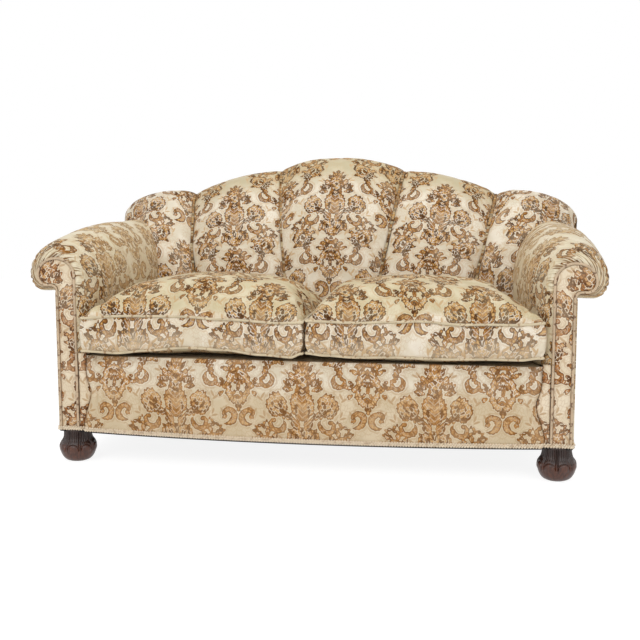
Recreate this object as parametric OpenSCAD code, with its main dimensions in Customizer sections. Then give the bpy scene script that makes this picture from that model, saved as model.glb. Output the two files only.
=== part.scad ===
// Two-seat sofa: channelled hump back, scroll arms, two loose box cushions and carved bun feet.
// The origin is on the floor under the middle of the sofa. X runs along the seat, Y runs to the
// back and Z runs up. "Left" and "right" are as seen by someone who faces the sofa.

/* [Base] */
// Width over the outside arm panels
base_w = 1616; // [1520:1:1760]
// Depth of the frame at the foot of the back, from the front of the scroll boards
base_d = 715; // [660:1:780]
// Where the front of the scroll boards stands
front_y = -415; // [-440:1:-400]
// Height of the feet, which is the underside of the frame
foot_h = 105; // [96:1:130]
// Height of the seat rails
rail_h = 110; // [80:1:140]
// Thickness of the seat rails and of the back frame
rail_t = 45; // [32:1:50]
// Width of the arm posts and back posts
post_w = 60; // [50:1:70]
// Depth of the front arm posts
stump_d = 50; // [40:1:60]
// Thickness of the scroll boards
board_t = 20; // [16:1:25]
// Thickness of the outside arm panels, canvas and cover together
panel_t = 6; // [4:1:10]
// Length of the short sides of the corner blocks
block_l = 90; // [60:1:110]

/* [Seat] */
// Height of the seat platform's top
deck_z = 350; // [330:1:370]
// Thickness of the stuffed platform
deck_t = 12; // [8:1:20]
// Thickness of the canvas over the springs
canvas_t = 1.7; // [1:0.1:2.5]
// Thickness of one layer of webbing
web_t = 1.5; // [1:0.1:2]
// Width of the webbing
web_w = 50; // [40:1:60]
// Wire radius of the springs
wire_r = 2; // [1.5:0.1:2.6]
// Widest radius of a seat spring
spring_r = 46; // [36:1:52]
// Radius of a seat spring at its waist
waist_r = 27; // [20:1:34]
// Turns of a seat spring
spring_turns = 5; // [4:0.5:6]
// Seat springs across the sofa
springs_x = 6; // [4:1:7]
// Radius of the cane along the front spring edge
cane_r = 4; // [3:0.5:6]
// How far in from the outside arm panel the front border ends
border_in = 96; // [92:1:108]
// How far the front border stands out at its ends
border_out = 18; // [12:1:26]
// How much further the front border stands out in the middle
border_bow = 14; // [4:1:16]
// Height of the braid along the bottom
gimp_h = 14; // [10:1:18]
// Thickness of the braid
gimp_t = 2.2; // [1.5:0.1:3]

/* [Arms] */
// Width of the arm at its front, from its inner face to the line of the outside panel
arm_front_w = 88; // [82:1:92]
// Width of the arm at the back, from its inner face to the line of the outside panel
arm_rear_w = 180; // [168:1:198]
// How far the arm roll stands out over the arm frame at its front end
roll_out_front = 98; // [78:1:113]
// How far the arm roll stands out over the arm frame at the back
roll_out_rear = 88; // [73:1:98]
// Height of the arm's inward bulge at its front end
bulge_front = 600; // [580:1:620]
// Height of the arm's inward bulge at the back
bulge_rear = 560; // [540:1:600]
// Top of the arm roll at its front end
arm_top_front = 694; // [680:1:705]
// Top of the arm roll where it has swollen fully
arm_top_rear = 757; // [745:1:765]
// Underside of the arm roll at its front end
arm_under_front = 549; // [535:1:555]
// Underside of the arm roll at the back
arm_under_rear = 596; // [580:1:610]
// Distance behind the front in which the arm swells
swell_l = 450; // [400:1:460]
// Top of the wooden arm rail at its front end
arm_rail_z = 600; // [590:1:615]
// Rise of the wooden arm rail to the back
arm_rail_rise = 50; // [30:1:60]
// Height of the wooden arm rail's section
arm_rail_h = 45; // [35:1:55]
// Width of the scroll of the facing
scroll_w = 120; // [112:1:126]
// Height of the top of the scroll
scroll_z = 657; // [650:1:665]
// Radius of the piping
pipe_r = 4; // [3:0.5:5]
// Thickness of the padded facings
facing_t = 7; // [4:1:9]

/* [Back] */
// Backward lean of the back frame in degrees
rake = 10.5; // [9:0.5:11.5]
// Depth position of the crest of the back
crest_y = 378; // [365:1:385]
// Front of the back at the platform
back_foot_y = 78; // [78:1:90]
// Front of the back at the top of the cushions
back_seat_y = 118; // [112:1:130]
// Height of the top of the cushions, where the back starts to lean
lean_z = 567; // [555:1:575]
// Height of the two inner seams at the crest
seam_in_z = 934; // [915:1:950]
// Height of the two outer seams at the crest
seam_out_z = 852; // [835:1:870]
// Distance of the inner seams from the middle, at the seat
seam_in_foot = 171; // [150:1:190]
// Distance of the inner seams from the middle, at the crest
seam_in_top = 231; // [215:1:250]
// From the outer seam's foot to the line of the outside panel
seam_out_foot_w = 302; // [288:1:328]
// From the outer seam's top to the line of the outside panel
seam_out_top_w = 241; // [223:1:263]
// Rise of the middle channel above its seams
mid_rise = 53; // [35:1:60]
// Rise of the channels beside it above their seams
side_rise = 24; // [15:1:35]
// How far the channels swell forward
channel_swell = 42; // [30:1:42]
// How far the back's round upper corner stands out over the arm
wing_over = 52; // [32:1:60]
// From the wing's highest place to the line of the outside panel
wing_peak_w = 168; // [148:1:183]
// Height of the wings' peak
wing_peak_z = 867; // [855:1:880]
// How far the wings round back at their outer edge
wing_round = 50; // [30:1:60]
// Radius of the cord in the channel seams
cord_r = 2.6; // [2:0.1:3.2]
// Stuffing over the top rail at the seams
crest_pad = 55; // [45:1:65]
// Length of the back springs
back_spring_l = 83; // [70:1:88]
// Radius of the back springs
back_spring_r = 36; // [28:1:42]
// Thickness of the outside back panel, canvas and cover together
outback_t = 5; // [4:1:8]

/* [Cushions] */
// Front of the cushions
cushion_front = -446; // [-450:1:-430]
// Back of the cushions
cushion_rear = 34; // [20:1:36]
// Space between the two cushions, and between a cushion and its arm
cushion_gap = 3; // [2:0.5:8]
// Height of the cushion border between its two pipings
cushion_border = 98; // [80:1:110]
// Crown of the cushion's top over its piping
cushion_crown = 100; // [70:1:110]
// Crown of the cushion's underside below its piping
cushion_belly = 28; // [15:1:35]
// How far the cushion's sides draw in between its corners
cushion_draw = 6; // [2:1:12]
// Distance from a cushion's edge to its inner pad
core_inset = 32; // [25:1:60]

/* [Feet] */
// Greatest radius of a front foot
bun_r = 57; // [50:1:60]
// Radius of a front foot's neck
neck_r = 42; // [36:1:46]
// Radius of a front foot's flat bottom
bun_flat_r = 27; // [20:1:32]
// Depth of the carving on the front feet
carve_t = 2; // [1:0.5:3]
// Ribs round a front foot
ribs = 8; // [6:1:10]
// From the middle of a front foot to the outside panel
foot_in = 46; // [40:1:56]
// Radius of a rear foot at the top
rear_foot_r = 30; // [24:1:32]
// Radius of a rear foot at the floor
rear_toe_r = 20; // [15:1:24]
// Radius of the bolts that hold the feet
bolt_r = 5; // [4:0.5:6]
// Length of the foot bolts inside the frame
bolt_in = 45; // [30:1:60]

/* [Hidden] */
$fn = 48;

// Clearance between pieces that lie against each other
fit = 0.3;
big = 3000;
beech = "burlywood";
cover = "wheat";
braid = "antiquewhite";
calico = "ivory";
bun_wood = "saddlebrown";
steel = "slategray";
black_cloth = "dimgray";

base_half = base_w / 2;
border_x = base_half - border_in;
arm_in_front = base_half - arm_front_w;
arm_in_rear = base_half - arm_rear_w;
seam_out_foot = base_half - seam_out_foot_w;
seam_out_top = base_half - seam_out_top_w;
wing_x = base_half + wing_over;
wing_peak_x = base_half - wing_peak_w;
foot_x = base_half - foot_in;
frame_out = base_half - panel_t;
frame_in = frame_out - post_w;
arm_out_front = frame_out + roll_out_front;
arm_out_rear = frame_out + roll_out_rear;
rear_y = front_y + base_d;
board_rear = front_y + board_t;
stump_rear = board_rear + stump_d;
rail_front = front_y + 7;
rail_rear = rail_front + rail_t;
rail_top = foot_h + rail_h;
side_in = frame_out - rail_t;
canvas_top = deck_z - deck_t - fit;
canvas_bottom = canvas_top - canvas_t;
border_front = rail_front - border_out;
foot_y = stump_rear - stump_d * 0.6;
rear_foot_x = frame_out - post_w / 2;
rear_foot_y = rear_y - rail_t / 2 - 6;

function clamp(v, lo, hi) = min(max(v, lo), hi);
function mix(a, b, s) = a + (b - a) * s;
function unit(v) = v / norm(v);
function flip_x(points) = [for (i = [len(points) - 1 : -1 : 0]) [-points[i][0], points[i][1]]];

// Places in the leaning frame of the back: n is the distance behind its rear face, v runs up it.
function lean(n, v) = [rear_y + n * cos(rake) + v * sin(rake), foot_h - n * sin(rake) + v * cos(rake)];
function up_lean(z) = (z - foot_h) / cos(rake);
// Depth position at height z of the leaning plane n
function plane_y(n, z) = rear_y + n / cos(rake) + (z - foot_h) * tan(rake);

// Faces of a solid whose rings have the same number of points, each ring an outer row and then
// the inner row backwards, so that the end caps are strips between the rows.
function side_faces(rings, m) = [for (i = [0 : rings - 2], k = [0 : m - 1])
  let (a = i * m + k, b = i * m + (k + 1) % m) each [[a, b, b + m], [a, b + m, a + m]]];
function strip_cap(first, m, turned) = [for (k = [0 : m / 2 - 2])
  let (a = first + k, b = a + 1, c = first + m - 2 - k, d = c + 1)
  each turned ? [[a, b, c], [a, c, d]] : [[a, c, b], [a, d, c]]];
module shell(rings) {
  m = len(rings[0]);
  n = len(rings);
  polyhedron(
    points = [for (r = rings) each r],
    faces = concat(side_faces(n, m), strip_cap(0, m, false), strip_cap((n - 1) * m, m, true))
  );
}

// A tube along a path; ref is a direction that the path never runs along.
function ring_at(p, t, ref, r, sides) =
  let (a = unit(cross(t, ref)), b = cross(a, t))
  [for (k = [0 : sides - 1]) p + r * (cos(360 * k / sides) * a + sin(360 * k / sides) * b)];
module tube(path, r, ref, sides = 6, closed = false) {
  n = len(path);
  before = function (i) closed ? path[(i + n - 1) % n] : path[max(i - 1, 0)];
  after = function (i) closed ? path[(i + 1) % n] : path[min(i + 1, n - 1)];
  points = [for (i = [0 : n - 1])
    each ring_at(path[i], unit(after(i) - before(i)), ref, r, sides)];
  last = closed ? n - 1 : n - 2;
  walls = [for (i = [0 : last], k = [0 : sides - 1])
    let (a = i * sides + k, b = i * sides + (k + 1) % sides, up = i == n - 1 ? -i * sides : sides)
    each [[a, b, b + up], [a, b + up, a + up]]];
  caps = closed ? [] : concat(
    [for (k = [1 : sides - 2]) [0, k + 1, k]],
    [for (k = [1 : sides - 2]) [(n - 1) * sides, (n - 1) * sides + k, (n - 1) * sides + k + 1]]);
  polyhedron(points = points, faces = concat(walls, caps));
}

// A double-cone spring of round wire, its ends at 0 and length.
module spring(length, r_end, r_mid, turns) {
  per_turn = 6;
  steps = round(turns * per_turn);
  path = [for (i = [0 : steps])
    let (s = i / steps, r = mix(r_end, r_mid, sin(180 * s)), a = 360 * i / per_turn)
    [r * cos(a), r * sin(a), mix(wire_r, length - wire_r, s)]];
  tube(path, wire_r, [0, 0, 1], 3);
}

module along_x(x0, x1) { translate([x0, 0, 0]) rotate([90, 0, 90]) linear_extrude(x1 - x0) children(); }
module along_y(y0, y1) { translate([0, y1, 0]) rotate([90, 0, 0]) linear_extrude(y1 - y0) children(); }
module in_back() { translate([0, rear_y, foot_h]) rotate([-rake, 0, 0]) children(); }
module box(a, b) { translate(a) cube(b - a); }
module on_side(is_right) { mirror([is_right ? 0 : 1, 0, 0]) children(); }
module below_frame() { box([-big, -big, -big], [big, big, foot_h]); }
// Everything behind the plane that lies n in front of the back frame's rear face
module behind_back(n) { in_back() box([-big, -n, -big], [big, big, big]); }

// Seat frame

module front_rail() color(beech)
  box([-frame_in, rail_front, foot_h], [frame_in, rail_rear, rail_top]);

module rear_rail() color(beech) difference() {
  in_back() box([-frame_in, -rail_t, -rail_t], [frame_in, 0, rail_h]);
  below_frame();
}

module side_rail() color(beech) difference() {
  box([side_in, stump_rear, foot_h], [frame_out, rear_y + rail_h, rail_top]);
  behind_back(rail_t);
}

module corner_blocks() color(beech) {
  z0 = foot_h + rail_h / 8;
  z1 = rail_top - rail_h / 8;
  front_block = [
    [frame_in - block_l, rail_rear], [frame_in, rail_rear], [frame_in, stump_rear],
    [side_in, stump_rear], [side_in, stump_rear + block_l]
  ];
  rear_block = [
    [side_in, rear_y + rail_t], [side_in, rear_y - rail_t - block_l],
    [side_in - block_l - rail_t, rear_y + rail_t]
  ];
  for (is_right = [false, true]) on_side(is_right) {
    translate([0, 0, z0]) linear_extrude(z1 - z0) polygon(front_block);
    difference() {
      translate([0, 0, z0]) linear_extrude(z1 - z0) polygon(rear_block);
      behind_back(rail_t);
    }
  }
}

// Arm frame: a post, a scroll board in front of it, a sloping rail on top and a tacking rail

arm_slope = atan(arm_rail_rise / base_d);
function arm_rail_top(y) = arm_rail_z + (y - board_rear) * tan(arm_slope);
function arm_rail_under(y) = arm_rail_top(y) - arm_rail_h / cos(arm_slope);

module arm_post() color(beech) difference() {
  along_x(frame_in, frame_out) polygon([
    [board_rear, foot_h], [stump_rear, foot_h],
    [stump_rear, arm_rail_under(stump_rear)], [board_rear, arm_rail_under(board_rear)]
  ]);
  translate([foot_x, foot_y, foot_h - 1]) cylinder(r = bolt_r + fit, h = bolt_in + 2);
}

// Outline of the scroll board and facing, as seen from the front, drawn in by e
function scroll_outline(e = 0, foot = foot_h) =
  let (
    half = scroll_w / 2, rise = 54, cx = frame_in + half, cz = scroll_z - rise,
    knee = 30, out = frame_out - 2, curl_x = cx + half - knee, hollow = 20
  )
  concat(
    [[frame_in + e, foot], [frame_in + e, mix(foot, cz, 0.5)]],
    [for (a = [180 : -15 : 0]) [cx + (half - e) * cos(a), cz + (rise - e) * sin(a)]],
    [for (a = [-20 : -20 : -80]) [curl_x + (knee - e) * cos(a), cz + (knee - e) * sin(a)]],
    [for (a = [90 : 22.5 : 180])
      [out + hollow + (hollow + e) * cos(a), cz - knee - hollow + (hollow + e) * sin(a)]],
    [[out - e, foot]]
  );

module scroll_board() color(beech)
  along_y(front_y, board_rear) polygon(scroll_outline());

module arm_rail() color(beech) difference() {
  section = [
    [side_in, -arm_rail_h], [frame_out, -arm_rail_h], [frame_out, -12], [frame_out - 12, 0],
    [side_in + 12, 0], [side_in, -12]
  ];
  translate([0, board_rear, arm_rail_z]) rotate([arm_slope, 0, 0])
    along_y(-rail_t, base_d + rail_t) polygon(section);
  box([0, -big, 0], [big, board_rear, big]);
  behind_back(rail_t);
}

module tacking_rail() color(beech) difference() {
  box([side_in, stump_rear, canvas_bottom - rail_t], [frame_out, rear_y + rail_h, canvas_bottom]);
  behind_back(rail_t);
}

// Back frame, in the leaning plane

function hump_z(x) = seam_in_z + 16
  - (seam_in_z + 16 - seam_out_z) * pow(x / seam_out_top, 2);
function top_rail_z(x) = hump_z(x) - crest_pad;
function top_rail_under(x) = mix(hump_z(frame_out), hump_z(x), 0.55) - crest_pad - 62;
rail_steps = 40;
top_rail_outline = concat(
  [for (i = [0 : rail_steps])
    let (x = mix(-frame_out, frame_out, i / rail_steps)) [x, up_lean(top_rail_z(x))]],
  [for (i = [rail_steps : -1 : 0])
    let (x = mix(-frame_out, frame_out, i / rail_steps)) [x, up_lean(top_rail_under(x))]]
);
under_end = up_lean(top_rail_under(frame_out));
// Everything in the back's plane from the underside of the top rail upwards
over_rail_under = concat(
  [for (i = [rail_steps : -1 : 0])
    let (x = mix(-frame_out, frame_out, i / rail_steps)) [x, up_lean(top_rail_under(x))]],
  [[-big, under_end], [-big, big], [big, big], [big, under_end]]
);
tack_z0 = canvas_bottom - web_t * 6;
tack_z1 = deck_z + rail_t * 0.45;

module top_rail() color(beech) in_back() along_y(-rail_t, 0) polygon(top_rail_outline);

module back_post() color(beech) difference() {
  in_back() box([frame_in, -rail_t, -rail_t], [frame_out, 0, up_lean(hump_z(0))]);
  below_frame();
  in_back() along_y(-big, big) polygon(over_rail_under);
  translate([rear_foot_x, rear_foot_y, foot_h - 1]) cylinder(r = bolt_r + fit, h = bolt_in + 2);
}

module back_tacking_rail() color(beech) in_back()
  box([-frame_in, -rail_t, up_lean(tack_z0)], [frame_in, 0, up_lean(tack_z1)]);

module back_stays() color(beech) in_back() difference() {
  for (x = [-1, 0, 1] * (seam_in_top + seam_out_top) / 2)
    box([x - 22, -rail_t, up_lean(tack_z1)], [x + 22, -rail_t / 3, up_lean(hump_z(0))]);
  along_y(-big, big) polygon(over_rail_under);
}

// Springing and platform

web_top = foot_h - 0.2;
seat_x0 = frame_in - 70;
seat_y0 = rail_rear + 60;
seat_y1 = rear_y - rail_t - 75;
function spring_x(i) = mix(-seat_x0 + 25, seat_x0 - 25, i / (springs_x - 1));
spring_rows = [seat_y0, (seat_y0 + seat_y1) / 2, seat_y1];

module seat_webbing() color(calico) {
  for (y = spring_rows)
    box([-frame_out + 12, y - web_w / 2, web_top - web_t], [frame_out - 12, y + web_w / 2, web_top]);
  for (i = [0 : springs_x - 1])
    box([spring_x(i) - web_w / 2, rail_front + 12, web_top - 2 * web_t - 0.2],
      [spring_x(i) + web_w / 2, rear_y - 12, web_top - web_t - 0.2]);
}

module seat_springs() color(steel)
  for (i = [0 : springs_x - 1], y = [spring_rows[0], spring_rows[2]])
    translate([spring_x(i), y, web_top + fit])
      spring(canvas_bottom - web_top - 2 * fit, spring_r, waist_r, spring_turns);

module spring_canvas() color(calico)
  box([-frame_in + 0.5, rail_front, canvas_bottom], [frame_in - 0.5, rear_y - 12, canvas_top]);

module edge_cane() color(beech)
  translate([0, rail_front + cane_r + 2, canvas_bottom - fit - cane_r]) rotate([0, 90, 0])
    cylinder(r = cane_r, h = 2 * frame_in - 1, center = true);

module seat_platform() color(calico)
  box([-frame_in + 0.5, rail_front, deck_z - deck_t], [frame_in - 0.5, rear_y - 12, deck_z]);

// Front border, with its bow, and the braid below it

function bow(x) = border_bow * (1 - pow(x / border_x, 2));
border_steps = 12;
border_bottom = foot_h + 1;
braid_z0 = foot_h + 0.2;
braid_z1 = braid_z0 + gimp_h;
border_front_line = [
  [0, border_bottom], [0, braid_z1 + 3], [-6, mix(foot_h, deck_z, 0.35)],
  [-8, mix(foot_h, deck_z, 0.6)], [-5, deck_z - 38], [2, deck_z - 16], [10, deck_z - 4]
];
border_rear_line = [for (p = border_front_line) [border_out - fit, p[1]]];

module front_border() color(cover)
  shell([for (i = [0 : border_steps])
    let (x = mix(-border_x, border_x, i / border_steps))
    concat(
      [for (p = border_front_line) [x, border_front + p[0] - bow(x), p[1]]],
      [for (k = [len(border_rear_line) - 1 : -1 : 0])
        [x, border_front + border_rear_line[k][0], border_rear_line[k][1]]]
    )]);

module bottom_gimp() color(braid) {
  shell([for (i = [0 : border_steps])
    let (x = mix(-border_x, border_x, i / border_steps), y = border_front - bow(x) - fit)
    [[x, y - gimp_t, braid_z0], [x, y - gimp_t, braid_z1], [x, y, braid_z1], [x, y, braid_z0]]]);
  for (is_right = [false, true]) on_side(is_right) {
    box([border_x + 0.5, front_y - fit - gimp_t, braid_z0], [base_half, front_y - fit, braid_z1]);
    difference() {
      box([base_half + fit, front_y - fit - gimp_t, braid_z0],
        [base_half + fit + gimp_t, rear_y + rail_h, braid_z1]);
      behind_back(-outback_t);
    }
  }
  difference() {
    in_back() box([-base_half, outback_t + fit, -rail_t], [base_half, outback_t + fit + gimp_t, gimp_h]);
    box([-big, -big, -big], [big, big, braid_z0]);
  }
}

// Cloth and tacks under the seat

cloth_z1 = web_top - 2 * web_t - 0.4;
cloth_z0 = cloth_z1 - web_t;

module dust_cover() color(black_cloth) difference() {
  box([-frame_out + 6, rail_front + 4, cloth_z0], [frame_out - 6, rear_y - 6, cloth_z1]);
  for (side = [-1, 1]) {
    translate([side * foot_x, foot_y, cloth_z0 - 1]) cylinder(r = bun_r, h = web_t + 2);
    translate([side * rear_foot_x, rear_foot_y, cloth_z0 - 1]) cylinder(r = rear_foot_r + 3, h = web_t + 2);
  }
}

tack_r = 5;
tack_h = 1.5;
tack_gap = 150;
tack_in = 20;
module tack() cylinder(r1 = tack_r / 2, r2 = tack_r, h = tack_h, $fn = 16);
module dust_cover_tacks() color(steel) {
  half = floor((foot_x - bun_r - tack_in) / tack_gap);
  for (i = [-half : half], y = [rail_front + tack_in, rear_y - tack_in])
    translate([i * tack_gap, y, cloth_z0 - tack_h]) tack();
  for (side = [-1, 1], y = [foot_y + 2 * bun_r : tack_gap : rear_foot_y - 2 * rear_foot_r])
    translate([side * (frame_out - tack_in), y, cloth_z0 - tack_h]) tack();
}

// Arms: the inside arm and its roll are one stuffed form that hooks over the arm rail

function swelled(y) = 1 - pow(1 - clamp((y - front_y) / swell_l, 0, 1), 2.5);
function arm_in(y) = mix(arm_in_front, arm_in_rear, swelled(y));
// The arm's section at y, grown by e, as [inner x, outer x, top, underside, height of the inner
// bulge, height of the outer bulge]
function arm_sizes(y, e = 0) =
  let (
    s = swelled(y), under = mix(arm_under_front, arm_under_rear, s) - e
  )
  [arm_in(y) - e, mix(arm_out_front, arm_out_rear, s) + e, mix(arm_top_front, arm_top_rear, s) + e,
    under, mix(bulge_front, bulge_rear, s), under + roll_drop];
roll_drop = 54;
roll_knee = 48;
// Up the inner face and over the roll to its outermost place
function arm_over(y, e = 0) =
  let (a = arm_sizes(y, e), in = a[0], out = a[1], top = a[2], cx = (in + out) / 2)
  concat(
    [[in + 4, deck_z + fit], [in + 2, mix(deck_z, a[4], 0.4)], [in, mix(deck_z, a[4], 0.8)]],
    [for (t = [180 : -20 : 100]) [cx + (cx - in) * cos(t), a[4] + (top - a[4]) * sin(t)]],
    [for (t = [90 : -18 : 0]) [cx + (out - cx) * cos(t), a[5] + (top - a[5]) * sin(t)]]
  );
function arm_section(y, e = 0) =
  let (a = arm_sizes(y, e), knee_x = a[1] - roll_knee)
  concat(
    arm_over(y, e),
    [for (t = [-25 : -25 : -75]) [knee_x + roll_knee * cos(t), a[5] + (a[5] - a[3]) * sin(t)]],
    [[knee_x, a[3]], [base_half + 1 - e, a[3]]]
  );
// Nearest place on the rounded envelope of the arm frame
slot_r = 12;
function on_slot(p, y) =
  let (
    gap = 0.5, x0 = frame_in - gap + slot_r, x1 = frame_out + gap - slot_r,
    top = arm_rail_top(y) + gap - slot_r,
    q = [clamp(p[0], x0, x1), min(p[1], top)], d = p - q
  ) q + slot_r * d / norm(d);
arm_steps = [0, 12, 28, 65, 130, 210, 300, swell_l - board_t, swell_l];
// Top of the roll at its rear end, at x
function roll_z(x, e = 0) =
  let (
    a = arm_sizes(rear_y, e), cx = (a[0] + a[1]) / 2,
    s = x < cx ? (cx - x) / (cx - a[0]) : (x - cx) / (a[1] - cx), z = x < cx ? a[4] : a[5]
  )
  s < 1 ? z + (a[2] - z) * sqrt(1 - s * s) : z;

module inside_arm() color(cover) {
  shell([for (i = [len(arm_steps) : -1 : 0])
    let (
      y = board_rear + fit + arm_steps[min(i, len(arm_steps) - 1)],
      outer = arm_section(y, i == 0 ? -8 : 0),
      depth_at = function (z) i == len(arm_steps) ? plane_y(-rail_t - fit, z) : y,
      inner = [for (p = outer) on_slot(p, depth_at(arm_rail_top(rear_y)))],
      place = function (p) [p[0], depth_at(p[1]), p[1]]
    )
    concat([for (p = outer) place(p)], [for (k = [len(inner) - 1 : -1 : 0]) place(inner[k])])]);
  // The end of the roll, beside the back frame and over the end of the top rail
  over_rail = rail_t * sin(rake) + 1;
  intersection() {
    along_y(rear_y - rail_t, rear_y + big / 4) polygon(concat(
      [for (p = arm_section(rear_y)) if (p[0] > frame_in - 10) p],
      [[frame_out + fit, arm_under_rear], [frame_out + fit, top_rail_z(frame_out) + over_rail]],
      [for (x = [frame_out : -12 : frame_in - 6]) [x, top_rail_z(x) + over_rail]]
    ));
    in_back() box([0, -rail_t, 0], [big, -fit, big]);
  }
  // The cover's end between the border and the facing
  box([border_x + 0.5, front_y - 5, braid_z1 + 1], [frame_in - pipe_r - 2 * fit, rail_front - fit, deck_z]);
}

module outside_arm() color(cover) difference() {
  steps = 10;
  along_x(frame_out, base_half) polygon(concat(
    [[rear_y + big / 4, foot_h], [front_y, foot_h]],
    [for (i = [0 : steps])
      let (y = front_y + swell_l * i / steps)
      [y, mix(arm_under_front, arm_under_rear, swelled(y)) - 2 * fit]],
    [[rear_y + big / 4, arm_under_rear - 2 * fit]]
  ));
  behind_back(0);
}

module facing() color(cover)
  along_y(front_y - facing_t, front_y) polygon(scroll_outline(pipe_r + 0.5, braid_z1 + 1));

module facing_piping() color(cover) {
  outline = scroll_outline(0, braid_z1 + 1);
  tube([for (p = outline) [p[0], front_y - fit - pipe_r, p[1]]], pipe_r, [0, 1, 0], 6);
}

// Back channels. Each column of a channel is a profile that runs from the platform up the front,
// over the crest and down to the back of the top rail, with a matching row inside it.

rise = [0, 0, 0, 0.34, 0.59, 0.85, 1, 1, 1];
depth = [0, 0, 0, 0.2, 0.46, 0.735, 1];
swell_part = [1, 1, 1, 1, 1, 0.8, 0.35, 0.15, 0];
rows = len(rise);
canvas_n = rail_t + web_t + back_spring_l + canvas_t;
canvas_knee_z = mix(lean_z, seam_out_z, 0.256);
canvas_top_z = mix(lean_z, seam_out_z, 0.66);

function crest_end(x) = up_lean(top_rail_z(x)) + 12;
function front_row(x, h) = concat(
  [[back_foot_y, deck_z + fit], [mix(back_foot_y, back_seat_y, 0.45), mix(deck_z, lean_z, 0.5)],
    [back_seat_y, lean_z]],
  [for (i = [3 : 6]) [mix(back_seat_y, crest_y, depth[i]), mix(lean_z, h, rise[i])]],
  [[mix(crest_y, lean(-fit, crest_end(x))[0], 0.6), h - 12], lean(-fit, crest_end(x))]
);
function rear_row(x) =
  let (
    n0 = -canvas_n - fit, n1 = -rail_t - web_t - fit, gap = 1.5,
    top = up_lean(top_rail_z(x)) + gap, turn = min(up_lean(canvas_top_z), top - 14),
    knee = up_lean(canvas_knee_z)
  )
  [[plane_y(n0, deck_z + fit), deck_z + fit],
    lean(n0, up_lean(mix(deck_z, lean_z, 0.5))), lean(n0, up_lean(lean_z)), lean(n0, knee),
    lean(mix(n0, n1, 0.5), mix(knee, turn, 0.5)), lean(n1, turn), lean(n1, top),
    lean(n1 / 2, top), lean(-fit, top)];

// One column: its sideways places at the foot and at the crest, its crest height and its swell
function column(x_foot, x_top, h, swell) =
  let (front = front_row(x_top, h), rear = rear_row(x_top))
  concat(
    [for (i = [0 : rows - 1])
      [mix(x_foot, x_top, rise[i]), front[i][0] - 0.87 * swell * swell_part[i],
        front[i][1] + (i == 0 ? 0 : 0.5) * max(swell, 0) * swell_part[i] * (i > 6 ? 0 : 1)]],
    [for (i = [rows - 1 : -1 : 0]) [mix(x_foot, x_top, rise[i]), rear[i][0], rear[i][1]]]
  );
cord_gap = cord_r + fit;
channel_steps = 8;
// A channel between two seams, each given as [x at the foot, x at the crest, height]
module channel(a, b, lift) color(cover)
  shell([for (j = [0 : channel_steps])
    let (t = 180 * j / channel_steps, s = (1 - cos(t)) / 2, crest = lift * sin(t))
    column(mix(a[0] + cord_gap, b[0] - cord_gap, s), mix(a[1] + cord_gap, b[1] - cord_gap, s),
      mix(a[2], b[2], s) + crest - 0.175 * channel_swell * sin(t), channel_swell * sin(t))]);

seam_in = [seam_in_foot, seam_in_top, seam_in_z];
seam_out = [seam_out_foot, seam_out_top, seam_out_z];
function other_side(seam) = [-seam[0], -seam[1], seam[2]];

// The wing channel, from the outer seam to the round outer edge above the arm
module wing_channel() color(cover) difference() {
  shell(concat(
    [for (t = [0 : 22.5 : 67.5])
      column(mix(seam_out_foot + cord_gap, wing_peak_x, 1 - cos(t)),
        mix(seam_out_top + cord_gap, wing_peak_x, 1 - cos(t)),
        mix(seam_out_z, wing_peak_z, sin(t)) - 0.175 * channel_swell * sin(t), channel_swell * sin(t))],
    [for (t = [0 : 15 : 90])
      let (x = mix(wing_peak_x, wing_x, sin(t)))
      column(x, x, mix(arm_top_rear, wing_peak_z, cos(t)) - 0.175 * channel_swell * cos(t),
        channel_swell * cos(t) - wing_round * (1 - cos(t)))]
  ));
  along_y(front_y + swell_l - 20, rear_y + big / 4) polygon(concat(
    arm_over(rear_y, 2 * fit), [[arm_out_rear + 2 * fit, 0], [arm_in_rear - 2 * fit, 0]]
  ));
}

module back_seam_cords() color(cover)
  for (seam = [other_side(seam_out), other_side(seam_in), seam_in, seam_out]) {
    line = front_row(seam[1], seam[2]);
    places = [for (i = [0 : rows - 2])
      [mix(seam[0], seam[1], rise[i]), line[i][0] + 1, line[i][1] + (i == 0 ? cord_r : 0)]];
    end = [seam[1], mix(line[7][0], line[8][0], 0.7), mix(line[7][1], line[8][1], 0.7)];
    tube(concat(places, [end]), cord_r, [1, 0, 0], 5);
  }

back_spring_gap = seam_out_top * 0.476;
module back_webbing() color(calico) in_back()
  for (x = [for (i = [-4 : 4]) i * back_spring_gap / 2])
    box([x - web_w / 2, -rail_t - web_t, up_lean(canvas_bottom + web_t)],
      [x + web_w / 2, -rail_t, up_lean(canvas_top_z)]);

spring_lean = [up_lean(mix(deck_z, canvas_knee_z, 0.3)), up_lean(mix(deck_z, canvas_knee_z, 0.78))];
module back_springs() color(steel) in_back()
  for (x = [for (i = [-2 : 2]) i * back_spring_gap], v = spring_lean)
    translate([x, -rail_t - web_t - fit, v]) rotate([90, 0, 0])
      spring(back_spring_l - 2 * fit, back_spring_r, back_spring_r * 0.7, 3);

module back_canvas() color(calico) difference() {
  in_back() along_x(-arm_in_rear + 3, arm_in_rear - 3) polygon([
    [-canvas_n, 0], [-canvas_n, up_lean(canvas_knee_z)],
    [-rail_t - web_t, up_lean(canvas_top_z)], [-rail_t - web_t, up_lean(canvas_top_z) - 4],
    [-canvas_n + canvas_t, up_lean(canvas_knee_z) - 1], [-canvas_n + canvas_t, 0]
  ]);
  box([-big, -big, -big], [big, big, deck_z + fit]);
}

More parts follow.
